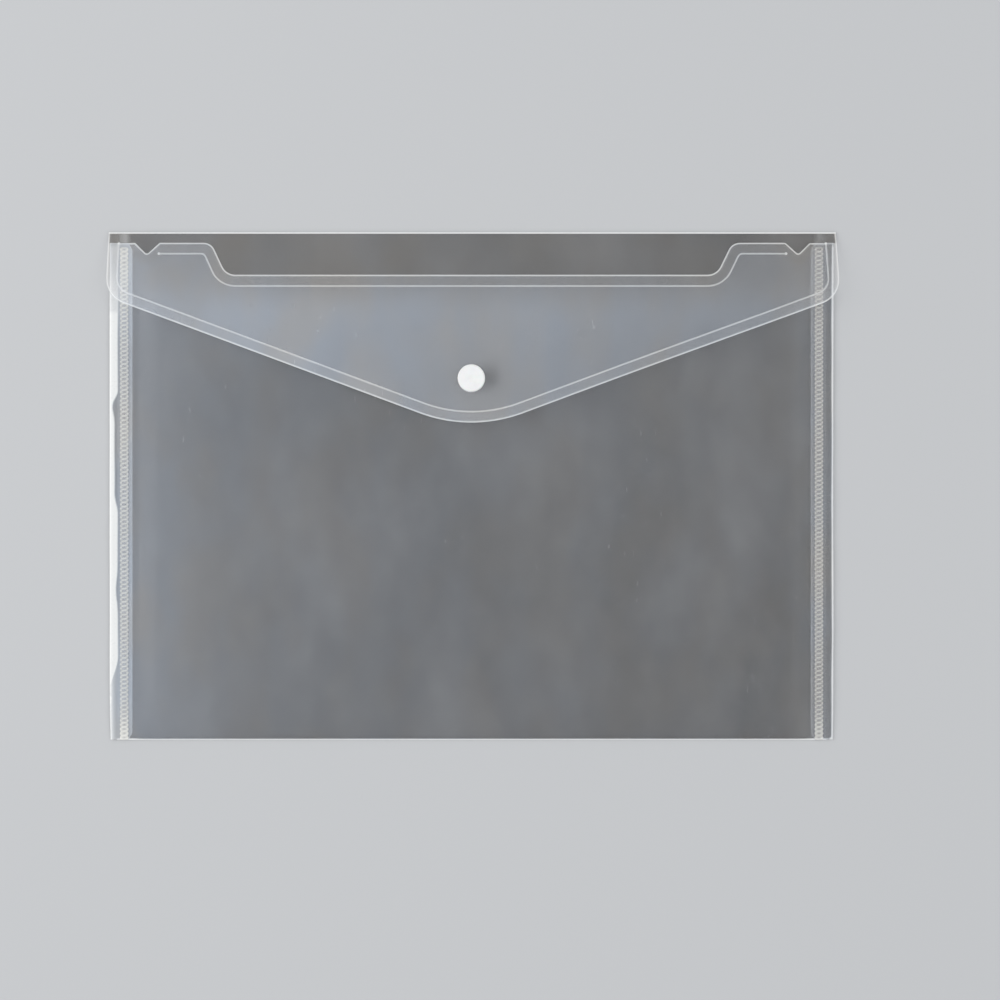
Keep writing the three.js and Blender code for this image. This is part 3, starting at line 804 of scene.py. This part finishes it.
# The front film with the bottom crease. Each column starts on the mouth's cut edge, goes in square to it
# for a rim's width, runs straight down to the bottom, and turns round the crease. The rows between lie
# closer at both ends, by a sine of the way down.
def makeFront():
    edge, inward = mouthEdge()
    edge = np.concatenate([edge[:0:-1] * [-1, 1], edge])
    edge[:, 0] = pushNotch(edge[:, 0])
    inward = np.concatenate([inward[:0:-1] * [-1, 1], inward])
    insets = rimInsets[:-1]
    rimX = edge[:, 0] + inward[:, 0] * insets[:, None]
    rimY = edge[:, 1] + inward[:, 1] * insets[:, None]
    rows, crowding = 96, 0.9
    down = np.linspace(0, 1, rows)[1:-1]
    down = down - crowding * np.sin(2 * math.pi * down) / (4 * math.pi)
    body = rimY[-1] - 0.4 * mm + (bottomY + 2 * mm - rimY[-1]) * down[:, None]
    foot = bottomY + np.array([1.1, 0.7, 0.5, 0.3, 0.15, 0])[:, None] * mm + 0 * body[:1]
    bodyY = np.concatenate([rimY[-1:] - 0.35 * mm, body, foot])
    turn = np.linspace(0, math.pi, 9)[1:]
    bend = len(turn)
    r = film / 2
    bendY = (bottomY - r * np.sin(turn))[:, None] + 0 * bodyY[:1]
    y = np.concatenate([rimY, bodyY, bendY])
    x = np.concatenate([rimX, rimX[-1] + 0 * bodyY, rimX[-1] + 0 * bendY])
    z = frontMiddle(x, y)
    normal = slopeNormal(frontMiddle, x, y)
    z[-bend:] = (film + r * np.cos(turn))[:, None]
    normal[-bend:] = np.stack([np.zeros(bend), -np.sin(turn), np.cos(turn)], axis=1)[:, None]
    distance = np.concatenate([insets, np.full(len(bodyY) + bend, 2 * film)])[:, None] + 0 * x
    masks = frontMasks(x, y, lineDistance(x, y, edge))
    middle = np.stack([x, y, z], axis=-1)
    piece = filmFrom("front_film", middle, normal, halfFilm(distance), masks)
    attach(piece, "pocket")
    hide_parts("front_panel", "bottom_crease")


# Back film with its side lips

back = {
    "rise": foldHigh.z,  # top of the loose loop
    "weldOuter": foldX - 4.6 * mm,
    "lipClip": 3 * mm,  # the lip's inner corners are clipped this far up
    "wander": 0.22 * mm,  # how far the fold's outside strays in and out
    "wanderOut": 0.05 * mm,  # at most this far out
    "bulge": 0.1 * mm,
    "pinch": 0.55,  # share by which the loop flattens at the bottom
    "pinchReach": 9 * mm,
    "pinchIn": 0.35 * mm,  # the fold's outside draws in with it, at full pinch
    "softEdge": 0.35 * mm,  # half width of the soft edge of the painted highlights on the sides
    "leftHighlight": 3.8 * mm,  # width of the painted highlight on the left loop's side
    "leftWaver": 0.03,
    "leftThinner": 1.5 * mm,  # it is thinner by this along the middle of the pocket
    "thinFrom": (-13 * mm, -3 * mm),
    "thinTo": (38 * mm, 44 * mm),
    "bites": ((36.5 * mm, 4 * mm), (-48 * mm, 7 * mm)),  # place and reach of two notches in it
    "biteDepth": 0.9 * mm,
    "leftFoot": (20 * mm, 38.5 * mm),  # it tapers to nothing between these heights above the bottom
    "spot": 18.5 * mm,  # height of a small painted highlight spot below it
    "spotReach": 2.2 * mm,
    "spotWidth": 1.2 * mm,
    "calmAbove": (0.2, 79.5 * mm, 81.5 * mm),  # the left side's painted highlight is weaker above, under the flap's corner
    "calmHigher": (0.35, 84 * mm, 106 * mm),  # and still less at the top
    # width of the painted highlight on the right loop's side
    "rightHighlight": 0.95 * mm,
    "rightWaver": 0.12,
    "rightShare": 0.75,
    "cornerHighlight": 1.2 * mm,  # painted highlight on both sides at the bottom corner
    "cornerReach": 0.9 * mm,
    "glow": 1.2,  # painted soft glow on the left side at the fold
    "glowMost": 0.9,
    "glowReach": 2.1 * mm,
    "glowLoss": (0.7, 30 * mm, 60 * mm),  # share that it loses further up
    "rimWidth": 0.9 * mm,
    # painted highlights along the lip's cut edge and its ends
    "lipHighlight": 0.1,
    "endHighlight": 0.4,
    # painted glow: the left lip is hazier, as if lit from the left lamp
    "litHazeLeft": 2.5,
    "hazeLeftTop": (1.2, 60 * mm, 95 * mm),  # more than that near the top
    "hazeRight": 1.3,
    "warmRight": 0.2,
}


# Painted highlight on the side of a loop, where the fold catches the lamps, on points given by their distance
# out from the middle. It is 1 from the fold in to a width that wavers by three sine waves. On the left the
# width follows the pocket in the photograph: thinner along the middle, with two bites, and running out near
# the bottom over a painted soft glow.
def foldHighlight(side, out, y, seed):
    waver = 0.6 * np.sin(74 * y + seed) + 0.5 * np.sin(143 * y + 2) + 0.3 * np.sin(231 * y + seed)
    above = y - bottomY
    if side < 0:
        width = back["leftHighlight"] * (1 + back["leftWaver"] * waver)
        width -= back["leftThinner"] * smoothStep(y, *back["thinFrom"]) * (1 - smoothStep(y, *back["thinTo"]))
        width -= back["biteDepth"] * sum(bell(y - place, reach) for place, reach in back["bites"])
        width *= smoothStep(above, *back["leftFoot"])
        spot = np.clip(1 - ((above - back["spot"]) / back["spotReach"]) ** 2, 0, 1)
        width += back["spotWidth"] * np.sqrt(spot)
    else:
        width = back["rightHighlight"] * (1 + back["rightWaver"] * waver)
    width += back["cornerHighlight"] * bell(above, back["cornerReach"])
    soft = back["softEdge"]
    paintedHighlight = smoothStep(out, foldX - width - soft, foldX - width + soft)
    if side < 0:
        paintedHighlight *= 1 - grown(y, *back["calmAbove"]) - grown(y, *back["calmHigher"])
    else:
        paintedHighlight *= back["rightShare"]
    paintedHighlight *= 1 - smoothStep(y, shoulderY - 2 * mm, shoulderY)
    # A painted soft glow that fades in from the left fold.
    if side < 0:
        glow = back["glow"] * np.exp((out - foldX) / back["glowReach"])
        glow *= 1 - grown(above, *back["glowLoss"])
        paintedHighlight = np.maximum(paintedHighlight, np.clip(glow, 0, back["glowMost"]))
    return paintedHighlight


# One side of the back film, from the lip's cut edge over the weld and round the loop to the underside: the
# distance out from the middle, the height, the distance from the cut edge, the whiteness with its painted
# highlights, and how far the film has turned under. Across, the loop is half a circle and the film eases down
# from it to the weld.
# Along, the loop swells and strays by a few slow sine waves, and it is pinched towards the bottom.
def backSide(side, seed, y, ends):
    r0 = (back["rise"] - film) / 2
    bendX = foldX - film / 2 - r0
    lipZ = 2.5 * film + 2 * shape["seamGap"]
    ease = np.linspace(0, 1, 12)[1:-1]
    a = np.linspace(math.pi / 2, -math.pi / 2, 16)
    pinched = back["pinch"] * bell(y - bottomY, back["pinchReach"])
    swell = unevenness(0 * y, 1.3 * y, seed) + 0.5 * np.sin(210 * y + seed)
    r = (r0 + back["bulge"] * swell) * (1 - pinched)
    stray = back["wander"] * unevenness(0 * y, 0.9 * y, seed + 1.1)
    stray = np.minimum(stray, back["wanderOut"]) - back["pinchIn"] * pinched
    clipped = np.clip((back["lipClip"] - ends) / back["lipClip"], 0, 1)
    edgeX = lipX + clipped * (weldX - weld["halfWidth"] - lipX)
    lipPath = edgeX + rimInsets
    seamPath = lipPath[:, -1:] + (back["weldOuter"] - lipPath[:, -1:]) * np.linspace(0, 1, 8)[1:]
    risePath = back["weldOuter"] + ease * (bendX + stray - back["weldOuter"])
    riseZ = lipZ + ease**2 * (3 - 2 * ease) * (film / 2 + 2 * r - lipZ)
    loopPath = bendX + stray + r0 * np.cos(a)
    loopZ = film / 2 + r + r * np.sin(a)
    out = np.concatenate([lipPath, seamPath, risePath, loopPath], axis=1)
    z = np.concatenate([lipZ + 0 * lipPath, lipZ + 0 * seamPath, riseZ, loopZ], axis=1)
    distance = np.concatenate([rimInsets, np.full(out.shape[1] - len(rimInsets), 5 * film)]) + 0 * out
    under = np.concatenate([np.zeros(out.shape[1] - len(a)), smoothStep(-a, 0.2, 1.5)]) + 0 * out
    # Painted highlights along the lip's cut edges and on the fold's loop.
    white = back["lipHighlight"] * rimMask(distance, back["rimWidth"])
    white = np.maximum(white, back["endHighlight"] * rimMask(ends + 0 * out, back["rimWidth"]))
    white = np.maximum(white, foldHighlight(side, out, y, seed)) * (1 - under)
    return side * out, z, distance, white, under


# The back film is a flat sheet between its two sides, which rise round a loose loop, come back over the front
# and end in a lip. It is smoky as far as the loops, and the lips are hazy, the left one more so as a painted
# glow from the left lamp.
def makeBack():
    y = np.linspace(bottomY, shoulderY, 200)
    rimY = rimInsets[1:-1]
    y = np.sort(np.concatenate([y, bottomY + rimY, shoulderY - rimY]))[:, None]
    ends = np.minimum(y - bottomY, shoulderY - y)
    left = backSide(-1, 0.4, y, ends)
    right = backSide(1, 2.9, y, ends)
    share = (np.linspace(-1, 1, 60)[1:-1] + 1) / 2
    flatX = left[0][:, -1:] + (right[0][:, -1:] - left[0][:, -1:]) * share

    # A row from the left lip to the right one: both sides' values, with the flat sheet's between them.
    def across(at, between):
        return np.concatenate([left[at], between + 0 * flatX, right[at][:, ::-1]], axis=1)

    x = across(0, flatX)
    z = across(1, film / 2)
    smoke = across(4, 1.0)
    dx, dz = np.gradient(x, axis=1), np.gradient(z, axis=1)
    normal = np.stack([dz, 0 * dx, -dx], axis=-1)
    normal /= np.linalg.norm(normal, axis=-1, keepdims=True)
    uncut = 1.0  # metres, so that the film is whole where another piece carries it on
    distance = np.minimum(across(2, 5 * film), np.where(smoke < 0.01, ends, uncut))
    lip = 1 - smoke
    # Painted glow: the left lip is hazier than the right one.
    litLeftHaze = back["litHazeLeft"] + grown(y, *back["hazeLeftTop"])
    haze = smoke + lip * np.where(x < 0, litLeftHaze, back["hazeRight"])
    warm = back["warmRight"] * lip * (x > 0)
    masks = {"white": across(3, 0.0), "smoke": smoke, "haze": haze, "warm": warm}
    middle = np.stack([x, y + 0 * x, z], axis=-1)
    piece = filmFrom("back_film", middle, normal, halfFilm(distance), masks)
    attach(piece, "pocket")
    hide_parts("back_panel", "left_side_fold", "right_side_fold")


# Pressed lines

pressed = {
    "width": 0.8 * mm,
    "height": 0.13 * mm,
    "sunk": 0.03 * mm,  # a bead is closed this far below the film's skin
    "step": 0.8 * mm,
    "tip": 0.5 * mm,  # over which a bead shrinks to a point
    "bulb": 0.7,  # share by which a bead is wider near its tip
    "bulbPlace": 0.7 * mm,
    "bulbReach": 0.5 * mm,
    "bulbWhite": 0.35,
    "flapInset": 5 * mm,
    "flapStart": 3.4 * mm,  # from the crease's end
    "flapWhite": 0.38,
    "frontInset": 5.2 * mm,
    "frontCorner": 2.4 * mm,  # least radius of the front line's corners
    "frontStop": 21.5 * mm,  # from the fold's outside
    "frontWhite": 0.42,
    "warm": 0.4,
}


# A low bead along a path on a film: its section is the upper half of an ellipse, closed a little below the
# film's skin. Near each end it swells to a small bulb, and then it shrinks to a point.
def pressedLine(name, path, level, body, white):
    steps = np.linalg.norm(np.diff(path, axis=0), axis=1)
    length = np.concatenate([[0], np.cumsum(steps)])
    at = np.linspace(0, length[-1], int(length[-1] / pressed["step"]))
    tips = np.array([0.1, 0.25, 0.45, 0.65, 1.0, 1.3]) * mm
    at = np.sort(np.concatenate([at, tips, length[-1] - tips]))
    x = np.interp(at, length, path[:, 0])
    y = np.interp(at, length, path[:, 1])
    tx, ty = np.gradient(x, at), np.gradient(y, at)
    size = np.hypot(tx, ty)
    sideX, sideY = -ty / size, tx / size
    end = np.minimum(at, length[-1] - at)
    fade = np.sqrt(np.clip(end / pressed["tip"], 0, 1))
    bulb = pressed["bulb"] * bell(end - pressed["bulbPlace"], pressed["bulbReach"])
    wide = (fade * (1 + bulb))[:, None]
    sunk = pressed["sunk"]
    a = np.concatenate([np.linspace(0, math.pi, 9), [math.pi, 1.5 * math.pi, 2 * math.pi]])
    u = np.cos(a) * pressed["width"] / 2
    v = np.where(a <= math.pi, np.sin(a) * pressed["height"], -sunk)
    v[-3:] = -sunk
    px = x[:, None] + sideX[:, None] * u * wide
    py = y[:, None] + sideY[:, None] * u * wide
    pz = level(px, py) + film / 2 + (v + sunk) * fade[:, None] - sunk
    points = np.stack([px, py, pz], axis=-1).reshape(-1, 3)
    whiter = np.repeat(white + pressed["bulbWhite"] * bulb, len(a))
    masks = {"white": whiter, "smoke": 0.0, "haze": 1.0, "warm": pressed["warm"]}
    piece = meshFrom(name, points, tubeQuads(len(at), len(a)), clearFilm, masks)
    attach(piece, body)


# The flap's line follows its cut edge all round, and the front's line follows the recess and ends short of
# the notches.
def makePressedLines():
    line = flapEdge(pressed["flapInset"])[0]
    line = line[line[:, 1] < flapStartY - pressed["flapStart"]]
    whole = np.concatenate([line, line[-2::-1] * [-1, 1]])
    whole[:, 0] = pushRight(whole[:, 0], whole[:, 1])
    pressedLine("flap_pressed_line", whole, flapMiddle, "flap", pressed["flapWhite"])
    corners, radii = recessCorners(pressed["frontInset"], pressed["frontCorner"])
    corners += [(foldX - pressed["frontStop"], shoulderY - pressed["frontInset"])]
    half = roundedLine(corners, radii, 0.4 * mm)
    whole = np.concatenate([half[:0:-1] * [-1, 1], half])
    whole[:, 0] = pushNotch(whole[:, 0])
    pressedLine("front_pressed_line", whole, frontMiddle, "pocket", pressed["frontWhite"])


# Welds

weld = {
    "pitch": 2 * mm,
    "halfWidth": 2.1 * mm,
    "waist": 1.75 * mm,  # half width between two rows of dots
    "base": 0.05 * mm,  # height of the welded strip without its knurl
    "rise": 0.13 * mm,  # height of the knurl
    "slant": 0.16,  # a bar's rise to its run across the strip
    "pit": (0.68 * mm, 0.4 * mm),  # reach across and along
    "pitDepth": 0.8,  # share of the knurl's height
    "barReach": 0.42 * mm,
    "barEnd": 1.84 * mm,  # from the strip's middle
    "barFade": 1.15 * mm,  # over which a bar fades out towards its end
    "dotPlace": 1.55 * mm,
    "dot": (0.45 * mm, 0.5 * mm),  # reach across and along
    "endFade": 0.4 * mm,
    "white": 0.32,
    "knurlWhite": 0.5,
    "pitClear": 0.4,
    "footHighlight": 0.525,  # painted highlight added near the bottom
    "footReach": 9 * mm,
    "topWhite": (0.35, 75 * mm, 100 * mm),  # added on the left weld, under the flap
    "rightShare": 0.78,  # the right weld is less white by this factor
    "warmLeft": 0.2,
    "warmRight": 0.7,
}


# A knurled weld as a height over a strip. Along the strip the pattern repeats at each pitch: a pit in the
# middle, a slanting bar between two pits, and a dot at each side level with the pit, so that the outline is
# scalloped. The knurl mask, which whitens the film, follows the bars and dots.
def makeWeld(side):
    pitch = weld["pitch"]
    perPitch, columns = 10, 17
    count = round((weldHigh.y - bottomY) / pitch)
    v = np.linspace(0, count * pitch, count * perPitch + 1)[:, None]
    s = np.linspace(-1, 1, columns)[None]
    mean, swing = (weld["halfWidth"] + weld["waist"]) / 2, (weld["halfWidth"] - weld["waist"]) / 2
    u = (mean - swing * np.cos(2 * math.pi * v / pitch)) * s
    fromPit = ((v / pitch) % 1 - 0.5) * pitch
    pit = bell(u, weld["pit"][0]) * bell(fromPit, weld["pit"][1])
    slanted = ((v - weld["slant"] * u) / pitch) % 1
    bar = bell(np.minimum(slanted, 1 - slanted) * pitch, weld["barReach"])
    bar *= np.clip((weld["barEnd"] - np.abs(u)) / weld["barFade"], 0, 1)
    dot = bell(np.abs(u) - weld["dotPlace"], weld["dot"][0]) * bell(fromPit, weld["dot"][1])
    knurl = np.clip(np.maximum(bar, dot) - weld["pitDepth"] * pit, 0, 1)
    fade = np.clip(np.minimum(v, v[-1] - v) / weld["endFade"], 0, 1)
    taper = np.sqrt(np.clip(1 - s**6, 0, 1)) * np.sqrt(fade)
    low = 3 * film
    top = low + (weld["base"] + weld["rise"] * knurl) * taper
    x = side * weldX + u
    y = bottomY - film + v + 0 * u
    upper = np.stack([x, y, top], axis=-1).reshape(-1, 3)
    lower = np.stack([x, y, 0 * x + low], axis=-1).reshape(-1, 3)
    white = weld["white"] + weld["knurlWhite"] * knurl - weld["pitClear"] * pit
    # A painted highlight near the weld's bottom end.
    white += weld["footHighlight"] * bell(v, weld["footReach"])
    if side < 0:
        white += grown(y, *weld["topWhite"])
    white = np.clip(white, 0, 1).ravel() * (weld["rightShare"] if side > 0 else 1)
    masks = {"white": np.concatenate([white, white]), "smoke": 0.0, "haze": 1.0}
    masks["warm"] = weld["warmRight"] if side > 0 else weld["warmLeft"]
    name = "right_weld" if side > 0 else "left_weld"
    points = np.concatenate([upper, lower])
    piece = meshFrom(name, points, sheetQuads(len(v), columns), weldedFilm, masks)
    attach(piece, "pocket")
    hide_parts(name + "_seam")


# Press stud

# Lengths are in millimetres
stud = {
    "segments": 96,
    "sharpAngle": 38,  # degrees past which an edge is shaded sharp
    "capRadius": 6.3,
    "capUnderRound": 0.18,
    "capTopRound": 0.55,
    "capTopCentre": 0.6,  # height of that round's centre
    "capTopSweep": 72,  # degrees of it, up to where the crown starts
    "crown": ((5.2, 1.14), (4.2, 1.17), (2.4, 1.19), (0.75, 1.2)),  # radii and heights
    "dimple": ((0.6, 1.17), (0.3, 1.14), (0, 1.14)),
    "postRadius": 1,
    "rivetRadius": 1.55,
    "rivetHeight": 0.35,
    "rivetRound": 0.2,
    "boreRadius": 1.3,
    "discRadius": 5.3,
    "discChamfer": 0.1,
    "socketFloor": 0.7,
    "socketHeight": 2.4,
    "socketBore": 2.75,
    "boreChamfer": 0.15,
    "boreRound": 0.2,
    "ringRadius": 4.4,
    "ringRound": 0.25,
    "flange": 0.9,
    "flangeRound": 0.15,
    "studBase": 0.8,
    "baseRound": 0.2,
    "knobRadius": 2.45,
    "knobRound": 0.35,
    "knobTop": 2.1,
    "neck": ((2.3, 0.95), (2.32, 1.3)),
    "knobBore": 1.85,
}


# Turns a half section, given as radius and height pairs, round the stud's axis.
def turned(name, section, baseZ, body, node, up=1):
    section = np.array(section) * mm
    a = np.linspace(0, 2 * math.pi, stud["segments"], endpoint=False)
    x = section[:, 0][:, None] * np.cos(a)
    y = studY + section[:, 0][:, None] * np.sin(a)
    z = baseZ + up * section[:, 1][:, None] + 0 * x
    points = np.stack([x, y, z], axis=-1).reshape(-1, 3)
    piece = meshFrom(name, points, tubeQuads(len(section), len(a)), studPlastic, {})
    piece.data.set_sharp_from_angle(angle=math.radians(stud["sharpAngle"]))
    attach(piece, body)
    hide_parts(node)


# A round between two straight runs of a half section: an arc about a centre, with its angles in degrees.
def roundOff(cx, cz, r, start, end, count=5):
    a = np.radians(np.linspace(start, end, count))
    return [(cx + r * math.cos(t), cz + r * math.sin(t)) for t in a]


# Half section of a cap with its post and rivet head. It stands on the film, and the post goes down through
# the film and the floor of the moulding that it grips.
def capSection(floor):
    head = -film / mm - floor
    rivet, rivetRound = stud["rivetRadius"], stud["rivetRound"]
    cap, under, top = stud["capRadius"], stud["capUnderRound"], stud["capTopRound"]
    return [
        (0, head - stud["rivetHeight"]),
        *roundOff(rivet - rivetRound, head - stud["rivetHeight"] + rivetRound, rivetRound, -90, 0),
        (rivet, head), (stud["postRadius"], head), (stud["postRadius"], 0),
        *roundOff(cap - under, under, under, -90, 0, 4),
        *roundOff(cap - top, stud["capTopCentre"], top, 0, stud["capTopSweep"], 8),
        *stud["crown"], *stud["dimple"],
    ]


# Half section of the socket, down from the flap: a floor, a ring that grips the knob, and a flange.
def socketSection():
    floor, depth = -stud["socketFloor"], -stud["socketHeight"]
    bore, ring, chamfer = stud["socketBore"], stud["ringRadius"], stud["boreChamfer"]
    inner, outer, brim = stud["boreRound"], stud["ringRound"], stud["flangeRound"]
    return [
        (stud["boreRadius"], floor), (bore - chamfer, floor), (bore, floor - chamfer), (bore, depth + inner),
        *roundOff(bore + inner, depth + inner, inner, 180, 270),
        *roundOff(ring - outer, depth + outer, outer, -90, 0), (ring, -stud["flange"] - stud["discChamfer"]),
        *roundOff(stud["discRadius"] - brim, brim - stud["flange"], brim, -90, 0),
        (stud["discRadius"], -stud["discChamfer"]), (stud["discRadius"] - stud["discChamfer"], 0),
        (stud["boreRadius"], 0), (stud["boreRadius"], floor),
    ]


# Half section of the stud, up from the front: a base and a hollow knob with a narrower neck.
def studSection():
    base, disc, chamfer, edge = stud["studBase"], stud["discRadius"], stud["discChamfer"], stud["baseRound"]
    knob, lobe, top, bore = stud["knobRadius"], stud["knobRound"], stud["knobTop"], stud["knobBore"]
    return [
        (stud["boreRadius"], 0), (disc - chamfer, 0), (disc, chamfer),
        *roundOff(disc - edge, base - edge, edge, 0, 90), (knob, base), *stud["neck"],
        *roundOff(knob - lobe, top - lobe, lobe, -20, 90, 7), (bore + chamfer, top), (bore, top - chamfer),
        (bore, base), (stud["boreRadius"], base), (stud["boreRadius"], 0),
    ]


# The four mouldings: a cap and a socket on the flap, and a stud and a backing cap, turned over, on the front.
def makeStud():
    flapCap, frontCap = capSection(stud["socketFloor"]), capSection(stud["studBase"])
    turned("snap_cap_moulding", flapCap, flapUnder + film, "flap", "snap_cap")
    turned("snap_backing_moulding", frontCap, frontTop - film, "pocket", "snap_backing_cap", up=-1)
    turned("snap_socket_moulding", socketSection(), flapUnder, "flap", "snap_socket")
    turned("snap_stud_moulding", studSection(), frontTop, "pocket", "snap_stud")


makeBack()
makeFront()
makeFlap()
print("films made")
makePressedLines()
makeWeld(-1)
makeWeld(1)
print("pressed lines and welds made")
makeStud()
print("press stud made")

# Camera, light and floor

photo = {
    "pixels": 1000,
    "centreX": 471.6,  # the pocket's middle in the photograph
    "centreY": 486.1,
    "millimetresPerPixel": 0.4632,
    "distance": 1.0,
    "sensorWidth": 36,  # millimetres, as the lens is
}

studio = {
    "floorHalf": 9.0,
    "floorLevel": -0.4 * mm,
    "floorColour": (0.56, 0.565, 0.57, 1),
    "floorRoughness": 0.9,
    "skyColour": (0.95, 0.97, 1, 1),
    "skyStrength": 0.74,
    "lamps": (  # name, place, size and power
        ("left softbox", (-1.5, 0.3, 1.4), (1.2, 1.6), 16),
        ("right softbox", (1.5, -0.2, 1.7), (1.0, 1.0), 6),
    ),
}


# A camera straight above, placed and focused so that a millimetre on the table has its size in the
# photograph, and the pocket its place.
def makeCamera():
    data = bpy.data.cameras.new("overhead camera")
    camera = added("overhead camera", data)
    bpy.context.scene.camera = camera
    scale = photo["millimetresPerPixel"] * mm
    half = photo["pixels"] / 2
    x, y = (half - photo["centreX"]) * scale, (photo["centreY"] - half) * scale
    camera.location = (x, y, photo["distance"])
    data.sensor_width = photo["sensorWidth"]
    data.lens = photo["sensorWidth"] * photo["distance"] / (photo["pixels"] * scale)
    data.clip_start = 0.01


# A soft rectangular lamp that looks at the pocket's middle: it is tilted by the angle between its aim and
# straight down, and turned to the aim's heading.
def makeLamp(name, place, size, power):
    data = bpy.data.lights.new(name, "AREA")
    data.shape = "RECTANGLE"
    data.size, data.size_y = size
    data.energy = power
    lamp = added(name, data)
    lamp.location = place
    aim = -np.array(place) / np.linalg.norm(place)
    lamp.rotation_euler = (math.atan2(math.hypot(aim[0], aim[1]), -aim[2]), 0, math.atan2(-aim[0], aim[1]))


# A wide pale floor just under the pocket, an even sky and two lamps.
def makeStage():
    half = studio["floorHalf"]
    corners = [(-half, -half), (half, -half), (half, half), (-half, half)]
    mesh = bpy.data.meshes.new("table_top")
    mesh.from_pydata([(x, y, studio["floorLevel"]) for x, y in corners], [], [(0, 1, 2, 3)])
    floor = added("table_top", mesh)
    material = bpy.data.materials.new("pale table")
    material.use_nodes = True
    shader = material.node_tree.nodes["Principled BSDF"]
    shader.inputs["Base Color"].default_value = studio["floorColour"]
    shader.inputs["Roughness"].default_value = studio["floorRoughness"]
    mesh.materials.append(material)
    world = bpy.data.worlds.new("soft studio")
    bpy.context.scene.world = world
    world.use_nodes = True
    sky = world.node_tree.nodes["Background"]
    sky.inputs["Color"].default_value = studio["skyColour"]
    sky.inputs["Strength"].default_value = studio["skyStrength"]
    for lamp in studio["lamps"]:
        makeLamp(*lamp)


makeCamera()
makeStage()
scene = bpy.context.scene
scene.view_settings.view_transform = "Standard"
scene.cycles.transparent_max_bounces = 32  # a slanting ray passes many skins of film
scene.cycles.max_bounces = 4
scene.cycles.diffuse_bounces = 2

print("stage made")
